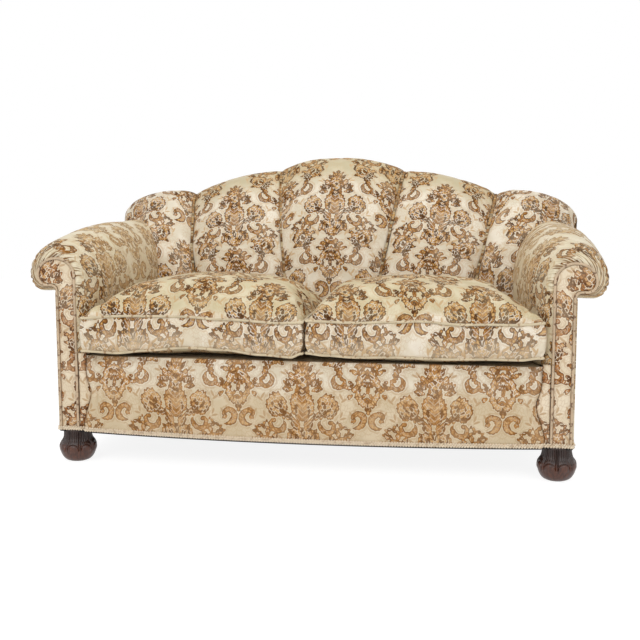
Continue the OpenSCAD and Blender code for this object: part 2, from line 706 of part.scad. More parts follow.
// Outline of the outside back: up the side, round the end of the arm roll and over the hump
function roof_z(x) = let (z = roll_z(x, -6)) x > frame_out ? z : max(z, top_rail_z(x) + 10);
back_half_outline = concat(
  [[base_half, -rail_t], [base_half, up_lean(arm_under_rear + 6)]],
  [for (p = arm_section(rear_y, -6)) if (p[1] < arm_under_rear + roll_drop && p[0] > base_half + 10)
    [p[0], up_lean(p[1])]]
);
module outside_back() color(cover) difference() {
  half = concat(
    [back_half_outline[0], back_half_outline[1]],
    [for (k = [len(back_half_outline) - 1 : -1 : 2]) back_half_outline[k]],
    [for (t = [90 : -2.5 : 0]) let (x = (arm_out_rear - 6) * sin(t)) [x, up_lean(roof_z(x))]]
  );
  in_back() along_y(0, outback_t) polygon(concat(half, flip_x(half)));
  below_frame();
}

// Feet

cove = (bun_r - neck_r) * 1.15;
// Half outline of a front foot, grown by e
function bun_outline(e) =
  let (ball_z = foot_h * 0.46, low = acos(bun_flat_r / bun_r))
  concat(
    [[0, 0], [bun_flat_r, 0]],
    [for (a = [-low : low / 6 : 35])
      [(bun_r + e) * cos(a), ball_z * (1 + sin(a) / sin(low)) * 0.999 + 0.05]],
    [[neck_r + e + cove * 0.12, foot_h * 0.82], [neck_r + e, foot_h * 0.9], [neck_r + e + 3, foot_h],
      [0, foot_h]]
  );

module front_foot() color(bun_wood) difference() {
  union() {
    rotate_extrude($fn = 64) polygon(bun_outline(0));
    difference() {
      intersection() {
        rotate_extrude($fn = 64) polygon(bun_outline(carve_t));
        translate([0, 0, foot_h * 0.42]) cylinder(r = bun_r * 2, h = foot_h * 0.58);
      }
      for (i = [0 : ribs - 1]) rotate([0, 90, (i + 0.5) * 360 / ribs])
        translate([-foot_h * 0.42, 0, neck_r / 2])
          cylinder(r = PI * bun_r / ribs * 0.8, h = bun_r);
    }
  }
  translate([0, 0, foot_h - bolt_in]) cylinder(r = bolt_r + fit, h = bolt_in + 1);
}

module rear_foot() color(bun_wood) difference() {
  union() {
    cylinder(r1 = rear_toe_r, r2 = rear_foot_r - 3, h = foot_h - 12);
    translate([0, 0, foot_h - 12]) cylinder(r = rear_foot_r, h = 12);
  }
  translate([0, 0, foot_h - bolt_in]) cylinder(r = bolt_r + fit, h = bolt_in + 1);
}

module foot_bolts() color(steel)
  for (place = [[foot_x, foot_y], [rear_foot_x, rear_foot_y]], side = [-1, 1])
    translate([side * place[0], place[1], foot_h - bolt_in + fit])
      cylinder(r = bolt_r, h = 2 * bolt_in - 2 * fit);

// Cushions

cushion_z0 = deck_z + fit;
lower_pipe_z = cushion_z0 + cushion_belly;
upper_pipe_z = lower_pipe_z + cushion_border;
across = 12;
along = 10;
function turn_at(i, n) = 180 * i / n;
function share(i, n) = (1 - cos(turn_at(i, n))) / 2;
// Place of a grid point of the right cushion in plan, drawn in by e
function cushion_xy(i, j, e = 0) =
  let (
    v = share(j, along), u = share(i, across),
    y = mix(cushion_front + e, cushion_rear - e, v),
    x0 = cushion_gap / 2 + 2 * pipe_r + fit + e,
    x1 = arm_in(max(y, front_y)) - cushion_gap - 2 * pipe_r - fit - e,
    side_pull = cushion_draw / 2 * sin(turn_at(j, along)), pull = cushion_draw * sin(turn_at(i, across))
  )
  [mix(x0 + side_pull, x1 - side_pull, u), mix(y + pull, y - pull, v)];
function crown(i, j) = pow(sin(turn_at(i, across)), 0.8) * pow(sin(turn_at(j, along)), 0.8);
function cushion_grid(z, height) = [for (j = [0 : along], i = [0 : across])
  let (p = cushion_xy(i, j)) [p[0], p[1], z + height * crown(i, j)]];

module cushion_form() {
  w = across + 1;
  half = w * (along + 1);
  top = [for (j = [0 : along - 1], i = [0 : across - 1])
    let (a = j * w + i) each [[a, a + w, a + w + 1], [a, a + w + 1, a + 1]]];
  under = [for (f = top) [f[0] + half, f[2] + half, f[1] + half]];
  rim = concat(
    [for (i = [0 : across - 1]) i], [for (j = [0 : along - 1]) j * w + across],
    [for (i = [across : -1 : 1]) along * w + i], [for (j = [along : -1 : 1]) j * w]);
  sides = [for (k = [0 : len(rim) - 1])
    let (a = rim[k], b = rim[(k + 1) % len(rim)]) each [[a, b, b + half], [a, b + half, a + half]]];
  polyhedron(
    points = concat(cushion_grid(upper_pipe_z, cushion_crown), cushion_grid(lower_pipe_z, -cushion_belly)),
    faces = concat(top, under, sides));
}

module cushion_pad_form(e) {
  corners = [[0, 0], [across, 0], [across, 2], [across, 4], [across, 6], [across, along], [0, along]];
  inset = core_inset - e;
  translate([0, 0, lower_pipe_z + 6 - e]) linear_extrude(cushion_border - 8 + 2 * e)
    polygon([for (c = corners) cushion_xy(c[0], c[1], inset)]);
}

module cushion_cover() color(cover) difference() {
  cushion_form();
  cushion_pad_form(fit);
}

module cushion_pad() color(calico) cushion_pad_form(0);

// Two closed loops of piping, which stand just proud of the cushion's edges
module cushion_piping() color(cover) {
  out = pipe_r + fit;
  for (z = [lower_pipe_z, upper_pipe_z]) {
    loop = concat(
      [for (i = [0 : across]) cushion_xy(i, 0) + [0, -out]],
      [for (j = [0 : along]) cushion_xy(across, j) + [out, 0]],
      [for (i = [across : -1 : 0]) cushion_xy(i, along) + [0, out]],
      [for (j = [along : -1 : 0]) cushion_xy(0, j) + [-out, 0]]
    );
    tube([for (p = loop) [p[0], p[1], z]], pipe_r, [0, 0, 1], 4, closed = true);
  }
}

front_rail();
rear_rail();
on_side(false) side_rail();  // left_side_rail
on_side(true) side_rail();  // right_side_rail
corner_blocks();
on_side(false) arm_post();  // left_arm_post
on_side(true) arm_post();  // right_arm_post
on_side(false) scroll_board();  // left_scroll_board
on_side(true) scroll_board();  // right_scroll_board
on_side(false) arm_rail();  // left_arm_rail
on_side(true) arm_rail();  // right_arm_rail
on_side(false) tacking_rail();  // left_tacking_rail
on_side(true) tacking_rail();  // right_tacking_rail
on_side(false) back_post();  // left_back_post
on_side(true) back_post();  // right_back_post
top_rail();
back_tacking_rail();
back_stays();
seat_webbing();
seat_springs();
spring_canvas();
edge_cane();
seat_platform();
front_border();
bottom_gimp();
dust_cover();
dust_cover_tacks();
on_side(false) inside_arm();  // left_inside_arm
on_side(true) inside_arm();  // right_inside_arm
on_side(false) outside_arm();  // left_outside_arm
on_side(true) outside_arm();  // right_outside_arm
on_side(false) facing();  // left_facing
on_side(true) facing();  // right_facing
on_side(false) facing_piping();  // left_facing_piping
on_side(true) facing_piping();  // right_facing_piping
back_webbing();
back_springs();
back_canvas();
on_side(false) wing_channel();  // back_channel_1
on_side(false) channel(seam_in, seam_out, side_rise);  // back_channel_2
channel(other_side(seam_in), seam_in, mid_rise);  // back_channel_3
on_side(true) channel(seam_in, seam_out, side_rise);  // back_channel_4
on_side(true) wing_channel();  // back_channel_5
back_seam_cords();
outside_back();
translate([-foot_x, foot_y, 0]) front_foot();  // left_front_foot
translate([foot_x, foot_y, 0]) front_foot();  // right_front_foot
translate([-rear_foot_x, rear_foot_y, 0]) rear_foot();  // left_rear_foot
translate([rear_foot_x, rear_foot_y, 0]) rear_foot();  // right_rear_foot
foot_bolts();
on_side(false) cushion_cover();  // left_cushion_cover
on_side(true) cushion_cover();  // right_cushion_cover
on_side(false) cushion_pad();  // left_cushion_pad
on_side(true) cushion_pad();  // right_cushion_pad
on_side(false) cushion_piping();  // left_cushion_piping
on_side(true) cushion_piping();  // right_cushion_piping
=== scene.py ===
from math import cos, pi, radians, sin, sqrt, tan

import bpy
import bmesh
import numpy as np
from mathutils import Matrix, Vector


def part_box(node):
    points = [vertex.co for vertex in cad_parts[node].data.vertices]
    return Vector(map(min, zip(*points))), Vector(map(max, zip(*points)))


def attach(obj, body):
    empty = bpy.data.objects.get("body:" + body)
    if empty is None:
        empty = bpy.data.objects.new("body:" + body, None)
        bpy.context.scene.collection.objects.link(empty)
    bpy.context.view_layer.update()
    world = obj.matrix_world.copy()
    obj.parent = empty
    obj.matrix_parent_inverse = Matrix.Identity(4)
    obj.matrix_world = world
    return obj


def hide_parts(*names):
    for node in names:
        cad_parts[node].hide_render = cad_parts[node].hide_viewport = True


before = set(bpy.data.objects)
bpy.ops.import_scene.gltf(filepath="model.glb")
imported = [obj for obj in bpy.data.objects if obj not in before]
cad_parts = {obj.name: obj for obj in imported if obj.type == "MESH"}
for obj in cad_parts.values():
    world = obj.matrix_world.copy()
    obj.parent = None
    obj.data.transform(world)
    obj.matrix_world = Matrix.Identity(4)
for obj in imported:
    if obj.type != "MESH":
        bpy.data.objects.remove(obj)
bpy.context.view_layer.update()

MM = 0.001

# ---------------------------------------------------------------------------
# Sizes of the sofa in millimetres, as the frame has them
# ---------------------------------------------------------------------------
BASE_HALF, FRAME_OUT, FRAME_IN = 808.0, 802.0, 742.0
FRONT_Y, BOARD_REAR, REAR_Y = -415.0, -395.0, 300.0
FOOT_H, DECK_Z, RAIL_T, FIT = 105.0, 350.0, 45.0, 0.3
BORDER_X, BORDER_FRONT, BORDER_BOW, BORDER_OUT, SAG = 712.0, -426.0, 14.0, 18.0, 9.0
ARM_FRONT = dict(inner=720.0, outer=900.0, top=694.0, under=549.0, bulge=600.0)
ARM_REAR = dict(inner=628.0, outer=890.0, top=757.0, under=596.0, bulge=560.0)
SWELL_L, ROLL_DROP, ROLL_KNEE = 450.0, 54.0, 48.0
SCROLL_X, SCROLL_Z, SCROLL_HALF, SCROLL_RISE, SCROLL_CURL, SCROLL_HOLLOW = 802.0, 603.0, 60.0, 54.0, 30.0, 20.0
PIPE_R, CORD_R, RAKE = 4.0, 2.6, radians(10.5)
CREST_Y, BACK_FOOT_Y, BACK_SEAT_Y, LEAN_Z = 378.0, 78.0, 118.0, 567.0
# Each seam of the back: its x at the seat and at the crest, and its height there
SEAM_IN, SEAM_OUT, HUMP_OVER = (171.0, 231.0, 934.0), (506.0, 567.0, 852.0), 16.0
MID_RISE, SIDE_RISE, SWELL, CREST_PULL = 53.0, 24.0, 42.0, 0.175
WING_X, WING_PEAK_X, WING_PEAK_Z, WING_ROUND = 860.0, 640.0, 867.0, 50.0
CREST_PAD, CANVAS_N = 55.0, 131.2
CUSHION_FRONT, CUSHION_REAR, CUSHION_GAP = -446.0, 34.0, 3.0
LOWER_PIPE_Z, UPPER_PIPE_Z, CROWN, BELLY, DRAW = 378.3, 476.3, 100.0, 28.0, 6.0
BRAID_Z, BRAID_H, BRAID_T = 105.2, 14.0, 2.2
OVER_BRAID = BRAID_Z + BRAID_H + 1
BUN_R, FOOT_X, FOOT_Y, REAR_FOOT_X, REAR_FOOT_Y = 57.0, 762.0, -375.0, 772.0, 271.5
REPEAT_W, REPEAT_H = 403.0, 578.0
SIDES = (("right", True), ("left", False))


def mix(a, b, s):
    return a + (b - a) * s


def ease(a, b, v):
    t = np.clip((v - a) / (b - a), 0, 1)
    return t * t * (3 - 2 * t)


def swelled(y):
    return 1 - (1 - np.clip((y - FRONT_Y) / SWELL_L, 0, 1)) ** 2.5


def plane_y(n, z):
    """Depth at height z of the leaning plane that stands n behind the frame's back."""
    return REAR_Y + n / cos(RAKE) + (z - FOOT_H) * tan(RAKE)


def up_lean(z):
    return (z - FOOT_H) / cos(RAKE)


def lean(n, v):
    """[y, z] of a place n behind the leaning back of the frame and v up it."""
    return REAR_Y + n * cos(RAKE) + v * sin(RAKE), FOOT_H - n * sin(RAKE) + v * cos(RAKE)


def bowed(x):
    """Share of the border's bow and sag at x: 1 in the middle, 0 at its ends."""
    return 1 - (x / BORDER_X) ** 2


def top_rail_z(x):
    hump = SEAM_IN[2] + HUMP_OVER
    return hump - (hump - SEAM_OUT[2]) * (x / SEAM_OUT[1]) ** 2 - CREST_PAD


# ---------------------------------------------------------------------------
# Places, smooth lines, soft unevenness and meshes
# ---------------------------------------------------------------------------
def places(*parts):
    """Places in space or on the cloth from their parts, each a number or a grid of them."""
    return np.stack(np.broadcast_arrays(*parts), -1)


def run(points, axis=0):
    """Distance from the first place, along a line or along one way of a grid."""
    first = np.take(points, [0], axis)
    return np.cumsum(np.linalg.norm(np.diff(points, axis=axis, prepend=first), axis=-1), axis=axis)


def unit(v):
    return v / np.linalg.norm(v, axis=-1, keepdims=True)


def sided(is_right, grid):
    """The grid on its side of the sofa; it is worked out for the right side."""
    return grid if is_right else grid * np.array([-1.0, 1.0, 1.0])


def even_line(line, count):
    line = np.asarray(line, float)
    far = run(line)
    want = np.linspace(0, far[-1], count)
    return places(*(np.interp(want, far, part) for part in line.T))


def smooth_line(points, count):
    """Even places along a smooth line through the points."""
    p = np.asarray(points, float)
    d = np.concatenate([[0], np.cumsum(np.sqrt(np.linalg.norm(np.diff(p, axis=0), axis=1)))])
    m = np.gradient(p, d, axis=0)
    t = np.linspace(0, d[-1], 400)
    k = np.clip(np.searchsorted(d, t, side="right") - 1, 0, len(d) - 2)
    h = (d[k + 1] - d[k])[:, None]
    s = (t - d[k])[:, None] / h
    return even_line((1 + 2 * s) * (1 - s) ** 2 * p[k] + s * (1 - s) ** 2 * h * m[k]
                     + s * s * (3 - 2 * s) * p[k + 1] + s * s * (s - 1) * h * m[k + 1], count)


def soft_noise(p, size, seed, waves=7):
    """Gentle unevenness from -1 to 1 over points in millimetres; size is about one bump."""
    rng = np.random.default_rng(seed)
    out = np.zeros(p.shape[:-1])
    for _ in range(waves):
        k = rng.normal(size=p.shape[-1])
        k *= rng.uniform(0.6, 1.5) * pi / size / np.linalg.norm(k)
        out += np.sin(p @ k + rng.uniform(0, 6.283))
    return out / sqrt(waves) / 1.4


def jitter(p, size, seeds):
    """Unevenness in as many directions as there are seeds."""
    return places(*(soft_noise(p, size, seed) for seed in seeds))


def grid_normals(g):
    n = np.cross(np.gradient(g, axis=1), np.gradient(g, axis=0))
    return n / np.maximum(np.linalg.norm(n, axis=2, keepdims=True), 1e-9)


def linked(name, data):
    obj = bpy.data.objects.new(name, data)
    bpy.context.scene.collection.objects.link(obj)
    return obj


def add_mesh(name, verts, faces, uv=None, sharp=60):
    """A smooth-shaded mesh object from millimetres, its normals turned outwards. uv has one
    cloth place in millimetres for each corner of each face, and is stored in metres."""
    me = bpy.data.meshes.new(name)
    me.from_pydata((np.asarray(verts, float) * MM).tolist(), [], faces)
    if uv is not None:
        cloth = (np.asarray(uv, float) * MM).astype(np.float32).ravel()
        me.uv_layers.new(name="cloth").data.foreach_set("uv", cloth)
    bm = bmesh.new()
    bm.from_mesh(me)
    bmesh.ops.recalc_face_normals(bm, faces=bm.faces)
    bm.to_mesh(me)
    bm.free()
    me.shade_smooth()
    me.set_sharp_from_angle(angle=radians(sharp))
    return linked(name, me)


def grid_faces(rows, cols):
    return [(i, i + 1, i + cols + 1, i + cols) for r in range(rows - 1) for i in range(r * cols, r * cols + cols - 1)]


def rim_of(rows, cols):
    """Numbers of a grid's outer places, once round it."""
    last = (rows - 1) * cols
    return ([*range(cols)] + [r * cols + cols - 1 for r in range(1, rows)]
            + [last + c for c in range(cols - 2, -1, -1)] + [r * cols for r in range(rows - 2, 0, -1)])


def slab(name, front, back, uv, sharp=60):
    """A closed pad between two grids of places; uv holds the front grid's cloth places."""
    rows, cols = front.shape[:2]
    n = rows * cols
    faces = grid_faces(rows, cols)
    faces += [tuple(n + i for i in reversed(f)) for f in faces]
    rim = rim_of(rows, cols)
    faces += [(b, a, n + a, n + b) for a, b in zip(rim, rim[1:] + rim[:1])]
    flat = np.concatenate([uv.reshape(-1, 2)] * 2)
    return add_mesh(name, np.concatenate([front.reshape(-1, 3), back.reshape(-1, 3)]), faces,
                    [flat[i] for f in faces for i in f], sharp)


def ring_loft(name, rings, uv, closed=False, sharp=60):
    """A skin over rings of places: capped, or with its last ring joined to its first. uv has one
    more place in each ring than the ring, and one more ring where it is closed."""
    n, m = rings.shape[:2]
    faces, cloth = [], []
    for i in range(n if closed else n - 1):
        j = (i + 1) % n
        for k in range(m):
            q = (k + 1) % m
            faces.append((i * m + k, i * m + q, j * m + q, j * m + k))
            cloth += [uv[i, k], uv[i, k + 1], uv[i + 1, k + 1], uv[i + 1, k]]
    for i in () if closed else (0, n - 1):
        faces.append(tuple(range(i * m, i * m + m)))
        cloth += [*uv[i, :m]]
    return add_mesh(name, rings.reshape(-1, 3), faces, cloth, sharp)


def tube(name, path, radius, sides=8, closed=False, ref=(0, 0, 1)):
    """Piping along a path. The cloth runs along it, u round it and v along it."""
    p = np.asarray(path, float)
    t = unit(np.roll(p, -1, 0) - np.roll(p, 1, 0) if closed else np.gradient(p, axis=0))
    a = unit(np.cross(t, np.array(ref, float)))
    b = np.cross(a, t)
    turn = np.linspace(0, 2 * pi, sides, endpoint=False)[None, :, None]
    rings = p[:, None] + radius * np.cos(turn) * a[:, None] + radius * np.sin(turn) * b[:, None]
    far = run(np.concatenate([p, p[:1]]) if closed else p)
    return ring_loft(name, rings, places(np.linspace(0, 2 * pi * radius, sides + 1), far[:, None]), closed)


def joined(name, parts):
    """One piece from several objects."""
    with bpy.context.temp_override(active_object=parts[0], selected_editable_objects=parts):
        bpy.ops.object.join()
    parts[0].name = parts[0].data.name = name
    return parts[0]


# ---------------------------------------------------------------------------
# Back: five stuffed channels with a stitched welt in each valley
# ---------------------------------------------------------------------------
# Nine heights of a channel, from the platform over the crest: shares of its rise, depth and swell
RISE = [0, 0, 0, 0.34, 0.59, 0.85, 1, 1, 1]
DEPTH = [0, 0, 0, 0.2, 0.46, 0.735, 1]
SWELL_PART = [1, 1, 1, 1, 1, 0.8, 0.35, 0.15, 0]
FLUTE_ROWS, FLUTE_COLS = 110, 61
SEAM_GAP = CORD_R + 0.6


def front_row(x, h):
    """Side view [y, z] of a valley, from the platform over a crest at height h to the rail's back."""
    rows = [(BACK_FOOT_Y, DECK_Z + FIT), (mix(BACK_FOOT_Y, BACK_SEAT_Y, 0.45), mix(DECK_Z, LEAN_Z, 0.5)),
            (BACK_SEAT_Y, LEAN_Z)]
    rows += [(mix(BACK_SEAT_Y, CREST_Y, DEPTH[i]), mix(LEAN_Z, h, RISE[i])) for i in range(3, 7)]
    end = lean(-FIT, up_lean(top_rail_z(x)) + 12)
    return rows + [(mix(CREST_Y, end[0], 0.6), h - 12), end]


def channel_column(x_foot, x_top, h, swell):
    """Places up the front of a channel, over its crest and down to the back of the top rail."""
    row = front_row(x_top, h)
    return smooth_line([(mix(x_foot, x_top, RISE[i]), row[i][0] - 0.87 * swell * SWELL_PART[i],
                         row[i][1] + (0 if i == 0 or i > 6 else 0.5) * max(swell, 0) * SWELL_PART[i])
                        for i in range(9)], FLUTE_ROWS)


def between_seams(a, b, rise):
    columns = []
    for t in np.linspace(0, pi, FLUTE_COLS):
        s, up = (1 - cos(t)) / 2, sin(t) ** 1.35
        arch = 0.45 * sin(t) + 0.55 * sin(t) ** 2
        foot, top = (mix(a[i] + SEAM_GAP, b[i] - SEAM_GAP, s) for i in (0, 1))
        crest = mix(a[2], b[2], s) + rise * arch
        columns.append(channel_column(foot, top, crest - CREST_PULL * SWELL * up, SWELL * up))
    return np.stack(columns, 1)


def wing_grid():
    columns = []
    for t in np.linspace(0, pi / 2, 26)[:-1]:
        s, up = 1 - cos(t), sin(t) ** 1.35
        foot, top = (mix(SEAM_OUT[i] + SEAM_GAP, WING_PEAK_X, s) for i in (0, 1))
        crest = mix(SEAM_OUT[2], WING_PEAK_Z, up)
        columns.append(channel_column(foot, top, crest - CREST_PULL * SWELL * up, SWELL * up))
    for t in np.linspace(0, pi / 2, 36):
        s, up = sin(t), cos(t)
        columns.append(channel_column(mix(WING_PEAK_X, FRAME_IN - 10, s), mix(WING_PEAK_X, WING_X, s),
                                      mix(ARM_REAR["top"], WING_PEAK_Z, up) - CREST_PULL * SWELL * up,
                                      SWELL * up - WING_ROUND * (1 - up)))
    return np.stack(columns, 1)


def pucker_seams(grid, seams, seed):
    """Small pulls where the cloth is stitched down in the valleys, and a soft unevenness."""
    n = grid_normals(grid)
    across, up = run(grid, 1), run(grid[:, grid.shape[1] // 2])
    push = 1.6 * soft_noise(grid, 70, seed) + 0.7 * soft_noise(grid, 26, seed + 1)
    for at, phase in seams:
        d = across if at == 0 else across[:, -1:] - across
        pitch = up[:, None] / 21 + 0.8 * soft_noise(grid, 90, seed + 2) + phase
        push += -1.7 * np.exp(-d / 16) * (d > 1) * (0.5 + 0.5 * np.sin(2 * pi * pitch))
    return grid + n * push[:, :, None] * np.sign(-np.median(n[:, :, 1]))


def channel_back(grid):
    """Closes a channel behind its front, just before the springs' canvas and the rail."""
    z = grid[:, :, 2]
    n = mix(-CANVAS_N, -RAIL_T - 2, ease(LEAN_Z, z[-1], z))
    return places(grid[:, :, 0], np.maximum(plane_y(n, z), grid[:, :, 1] + 6), z)


back_pieces = []
MID_SEAM = tuple(-SEAM_IN[i] - 2 * SEAM_GAP for i in (0, 1)) + SEAM_IN[2:]
side_flute = between_seams(SEAM_IN, SEAM_OUT, SIDE_RISE)
for number, (grid, is_right, cloth_start) in enumerate([
        (wing_grid(), False, 490), (side_flute, False, 470), (between_seams(MID_SEAM, SEAM_IN, MID_RISE), True, 510),
        (side_flute, True, 480), (wing_grid(), True, 490)], 1):
    wing = number in (1, 5)
    grid = pucker_seams(grid, [(0, 0.3)] if wing else [(0, 0.3), (1, 0.7)], 10 * number)
    across, centre = run(grid, 1), 0 if wing else FLUTE_COLS // 2
    u = across - across[:, centre:centre + 1] + (172 if wing else 0)
    uv = places(u if is_right else -u, run(grid[:, centre])[:, None] - cloth_start)
    grid = sided(is_right, grid)
    piece = slab(f"back_flute_{number}", grid, channel_back(grid), uv)
    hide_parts(f"back_channel_{number}")
    back_pieces.append(piece)

welts = []
for side in (-1, 1):
    for seam in (SEAM_IN, SEAM_OUT):
        line = front_row(seam[1], seam[2])
        path = smooth_line([(side * mix(seam[0], seam[1], RISE[i]), line[i][0] - 6.0, line[i][1] + (2 if i == 0 else 0))
                            for i in range(8)], 120)
        welts += [tube("welt", path + np.array([offset, 0, 0]), 2.2, ref=(1, 0, 0)) for offset in (-2.1, 2.1)]
seam_welts = joined("back_seam_welts", welts)
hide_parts("back_seam_cords")

# ---------------------------------------------------------------------------
# Arms: stuffed inside arm and roll, gathered at the head, padded facing, piping, outside panel
# ---------------------------------------------------------------------------
PARTS = (16, 26, 26, 22)     # places up the inner face, up to the top, down to the side and under the roll
HEAD_BACK, PLEATS, ARM_CLOTH_AT = 26.0, 21, 45.0


def oval_line(cx, cz, rx, rz, turn):
    return places(cx + rx * np.cos(turn), cz + rz * np.sin(turn))


def over_curve(inner, outer, top, bulge_in, bulge_out, under, knee, panel_x):
    """Section of the arm as places [x, z]: up the inner face, over the roll and under it."""
    cx = (inner + outer) / 2
    rise = np.linspace(0, 1, PARTS[0], endpoint=False)
    over, down, below = (np.linspace(a, b, count, endpoint=False) for a, b, count in
                         ((pi, pi / 2, PARTS[1]), (pi / 2, 0, PARTS[2]), (0, -pi / 2, PARTS[3] - 6)))
    return np.concatenate([
        places(inner + 4 * (1 - rise) ** 2, mix(DECK_Z + FIT, bulge_in, rise)),
        oval_line(cx, bulge_in, cx - inner, top - bulge_in, over),
        oval_line(cx, bulge_out, outer - cx, top - bulge_out, down),
        oval_line(outer - knee, bulge_out, knee, bulge_out - under, below),
        places(mix(outer - knee, panel_x, np.linspace(0, 1, 6)), under)])


def arm_curve(y):
    k = {n: mix(ARM_FRONT[n], ARM_REAR[n], swelled(y)) for n in ARM_FRONT}
    return over_curve(k["inner"], k["outer"], k["top"], k["bulge"], k["under"] + ROLL_DROP, k["under"],
                      ROLL_KNEE, BASE_HALF + 1)


head_curve = over_curve(FRAME_IN - 1.0, SCROLL_X + SCROLL_HALF + 1.0, SCROLL_Z + SCROLL_RISE + 1.0, SCROLL_Z, SCROLL_Z,
                        SCROLL_Z - SCROLL_CURL - 1.0, SCROLL_CURL, FRAME_OUT + 16)


def arm_grid():
    """Rings of the arm from the facing to the back."""
    head = FRONT_Y - 1 + HEAD_BACK * (1 - np.cos(np.linspace(0, pi / 2, 14)))
    rings = []
    for y in np.concatenate([head, np.linspace(head[-1] + 4, 35, 60), np.linspace(45, plane_y(-RAIL_T, 600), 14)]):
        w = np.clip((y - FRONT_Y + 1) / HEAD_BACK, 0, 1)
        w = sqrt(1 - (1 - w) ** 2)
        ring = arm_curve(y) if w >= 1 else mix(head_curve, arm_curve(max(y, BOARD_REAR)), w)
        rings.append(places(ring[:, 0], y, ring[:, 1]))
    return np.array(rings)


def gather_head(rings):
    """Radial gathers round the head of the roll, which fade out behind it."""
    n = grid_normals(rings)
    along = run(rings[20][:, [0, 2]])
    start, end = along[PARTS[0] - 6], along[sum(PARTS) - 8]
    s = np.clip((along - start) / (end - start), 0, 1)
    at = places(along, 0.0)
    wave = np.abs(np.sin(pi * (s * PLEATS + soft_noise(at, 60, 41) * 0.35))) ** 0.55
    inside = ease(0, 0.05, s) * ease(0, 0.05, 1 - s)
    y = rings[:, :1, 1]
    fade = ease(FRONT_Y - 1, FRONT_Y + 6, y) * (1 - ease(FRONT_Y + 8, FRONT_Y + 80, y)) ** 1.3
    push = -7.5 * (1 - wave) * inside * fade * (0.65 + 0.35 * soft_noise(at, 25, 43))
    push += 1.8 * soft_noise(rings, 95, 44) + 0.8 * soft_noise(rings, 35, 45)
    push[0] = 0
    flip = -1 if n[20, PARTS[0] + 26, 2] < 0 else 1
    return rings + push[:, :, None] * n * flip


def rear_of_arm(rings):
    """The last rings follow the leaning back; the roll's end reaches the outside back."""
    out = [r for r in rings if r[0, 1] < 250]
    last = out[-1]
    roll = ease(FRAME_IN - 14, FRAME_IN - 2, last[:, 0])
    for s in (0.5, 1.0):
        stop = plane_y(mix(-RAIL_T - 1, -1, roll), last[:, 2])
        out.append(places(last[:, 0], mix(last[:, 1], stop, s), last[:, 2]))
    return np.array(out)


def on_frame(ring):
    """Nearest places on the rounded envelope of the arm's frame, for the back of the padding."""
    r = 12
    rail_top = 600 + (min(float(ring[:, 1].mean()), 290) - BOARD_REAR) * 50 / 715
    at = ring[:, [0, 2]]
    core = places(np.clip(at[:, 0], FRAME_IN - 0.5 + r, FRAME_OUT + 0.5 - r), np.minimum(at[:, 1], rail_top + 0.5 - r))
    x, z = (core + r * unit(at - core)).T
    return places(x, np.minimum(ring[:, 1], plane_y(-1.5, z)), z)


arm_rings = rear_of_arm(gather_head(arm_grid()))
arm_back = np.array([on_frame(ring) for ring in arm_rings])
roll_top_at = PARTS[0] + PARTS[1]
arm_uv = places(run(arm_rings)[:, roll_top_at:roll_top_at + 1] + ARM_CLOTH_AT, run(arm_rings, 1))
closed_rings = np.concatenate([arm_rings, arm_back[:, ::-1]], 1)
closed_uv = np.concatenate([arm_uv, arm_uv[:, ::-1], arm_uv[:, :1]], 1)


def scroll_sides(z, e):
    """Left and right edge of the facing at height z, drawn in by e."""
    low, stem = SCROLL_Z - SCROLL_CURL, FRAME_OUT - 2
    head = (SCROLL_HALF - e) * sqrt(max(0, 1 - ((z - SCROLL_Z) / (SCROLL_RISE - e)) ** 2))
    left = FRAME_IN + e if z <= SCROLL_Z else SCROLL_X - head
    if z >= SCROLL_Z:
        return left, SCROLL_X + head
    if z > low + e:
        return left, SCROLL_X + SCROLL_HALF - SCROLL_CURL + sqrt(max(0, (SCROLL_CURL - e) ** 2 - (SCROLL_Z - z) ** 2))
    if z > low - SCROLL_HOLLOW:
        reach = (SCROLL_HOLLOW + e) ** 2 - (low - SCROLL_HOLLOW - z) ** 2
        return left, max(stem + SCROLL_HOLLOW - sqrt(max(0, reach)), stem - e)
    return left, stem - e


def facing_grid(e=4.5):
    low, top = SCROLL_Z - SCROLL_CURL, SCROLL_Z + SCROLL_RISE - e
    s = (1 - np.cos(np.linspace(0, pi, 25))) / 2
    rows = []
    for z in np.concatenate([
            np.linspace(OVER_BRAID, low - SCROLL_HOLLOW, 50), np.linspace(low - SCROLL_HOLLOW + 2, low + e - 0.3, 14),
            np.linspace(low + e + 0.3, SCROLL_Z, 16),
            SCROLL_Z + (top - SCROLL_Z) * np.sin(np.linspace(0, pi / 2, 26))[1:-1], [top - 0.02]]):
        a, b = scroll_sides(z, e)
        x = mix(a, b, s)
        depth = np.minimum(np.minimum(x - a, b - x), min(z - OVER_BRAID, 30))
        if z > low:
            depth = np.minimum(depth, top - z)
        rows.append(places(x, FRONT_Y - 2.2 - 6.5 * (1 - np.exp(-np.maximum(depth, 0) / 9)), z))
    grid = np.array(rows)
    grid[:, :, 1] -= 0.7 * soft_noise(grid, 40, 61)
    return grid


def scroll_path():
    """Line of the piping round the facing, [x, z]."""
    stem = FRAME_OUT - 2
    return np.concatenate([
        [[FRAME_IN, OVER_BRAID], [FRAME_IN, mix(OVER_BRAID, SCROLL_Z, 0.5)]],
        oval_line(SCROLL_X, SCROLL_Z, SCROLL_HALF, SCROLL_RISE, np.linspace(pi, 0, 40)),
        oval_line(SCROLL_X + SCROLL_HALF - SCROLL_CURL, SCROLL_Z, SCROLL_CURL, SCROLL_CURL,
                  np.radians(np.linspace(-4, -84, 16))),
        oval_line(stem + SCROLL_HOLLOW, SCROLL_Z - SCROLL_CURL - SCROLL_HOLLOW, SCROLL_HOLLOW, SCROLL_HOLLOW,
                  np.radians(np.linspace(90, 180, 14))),
        [[stem, OVER_BRAID]]])


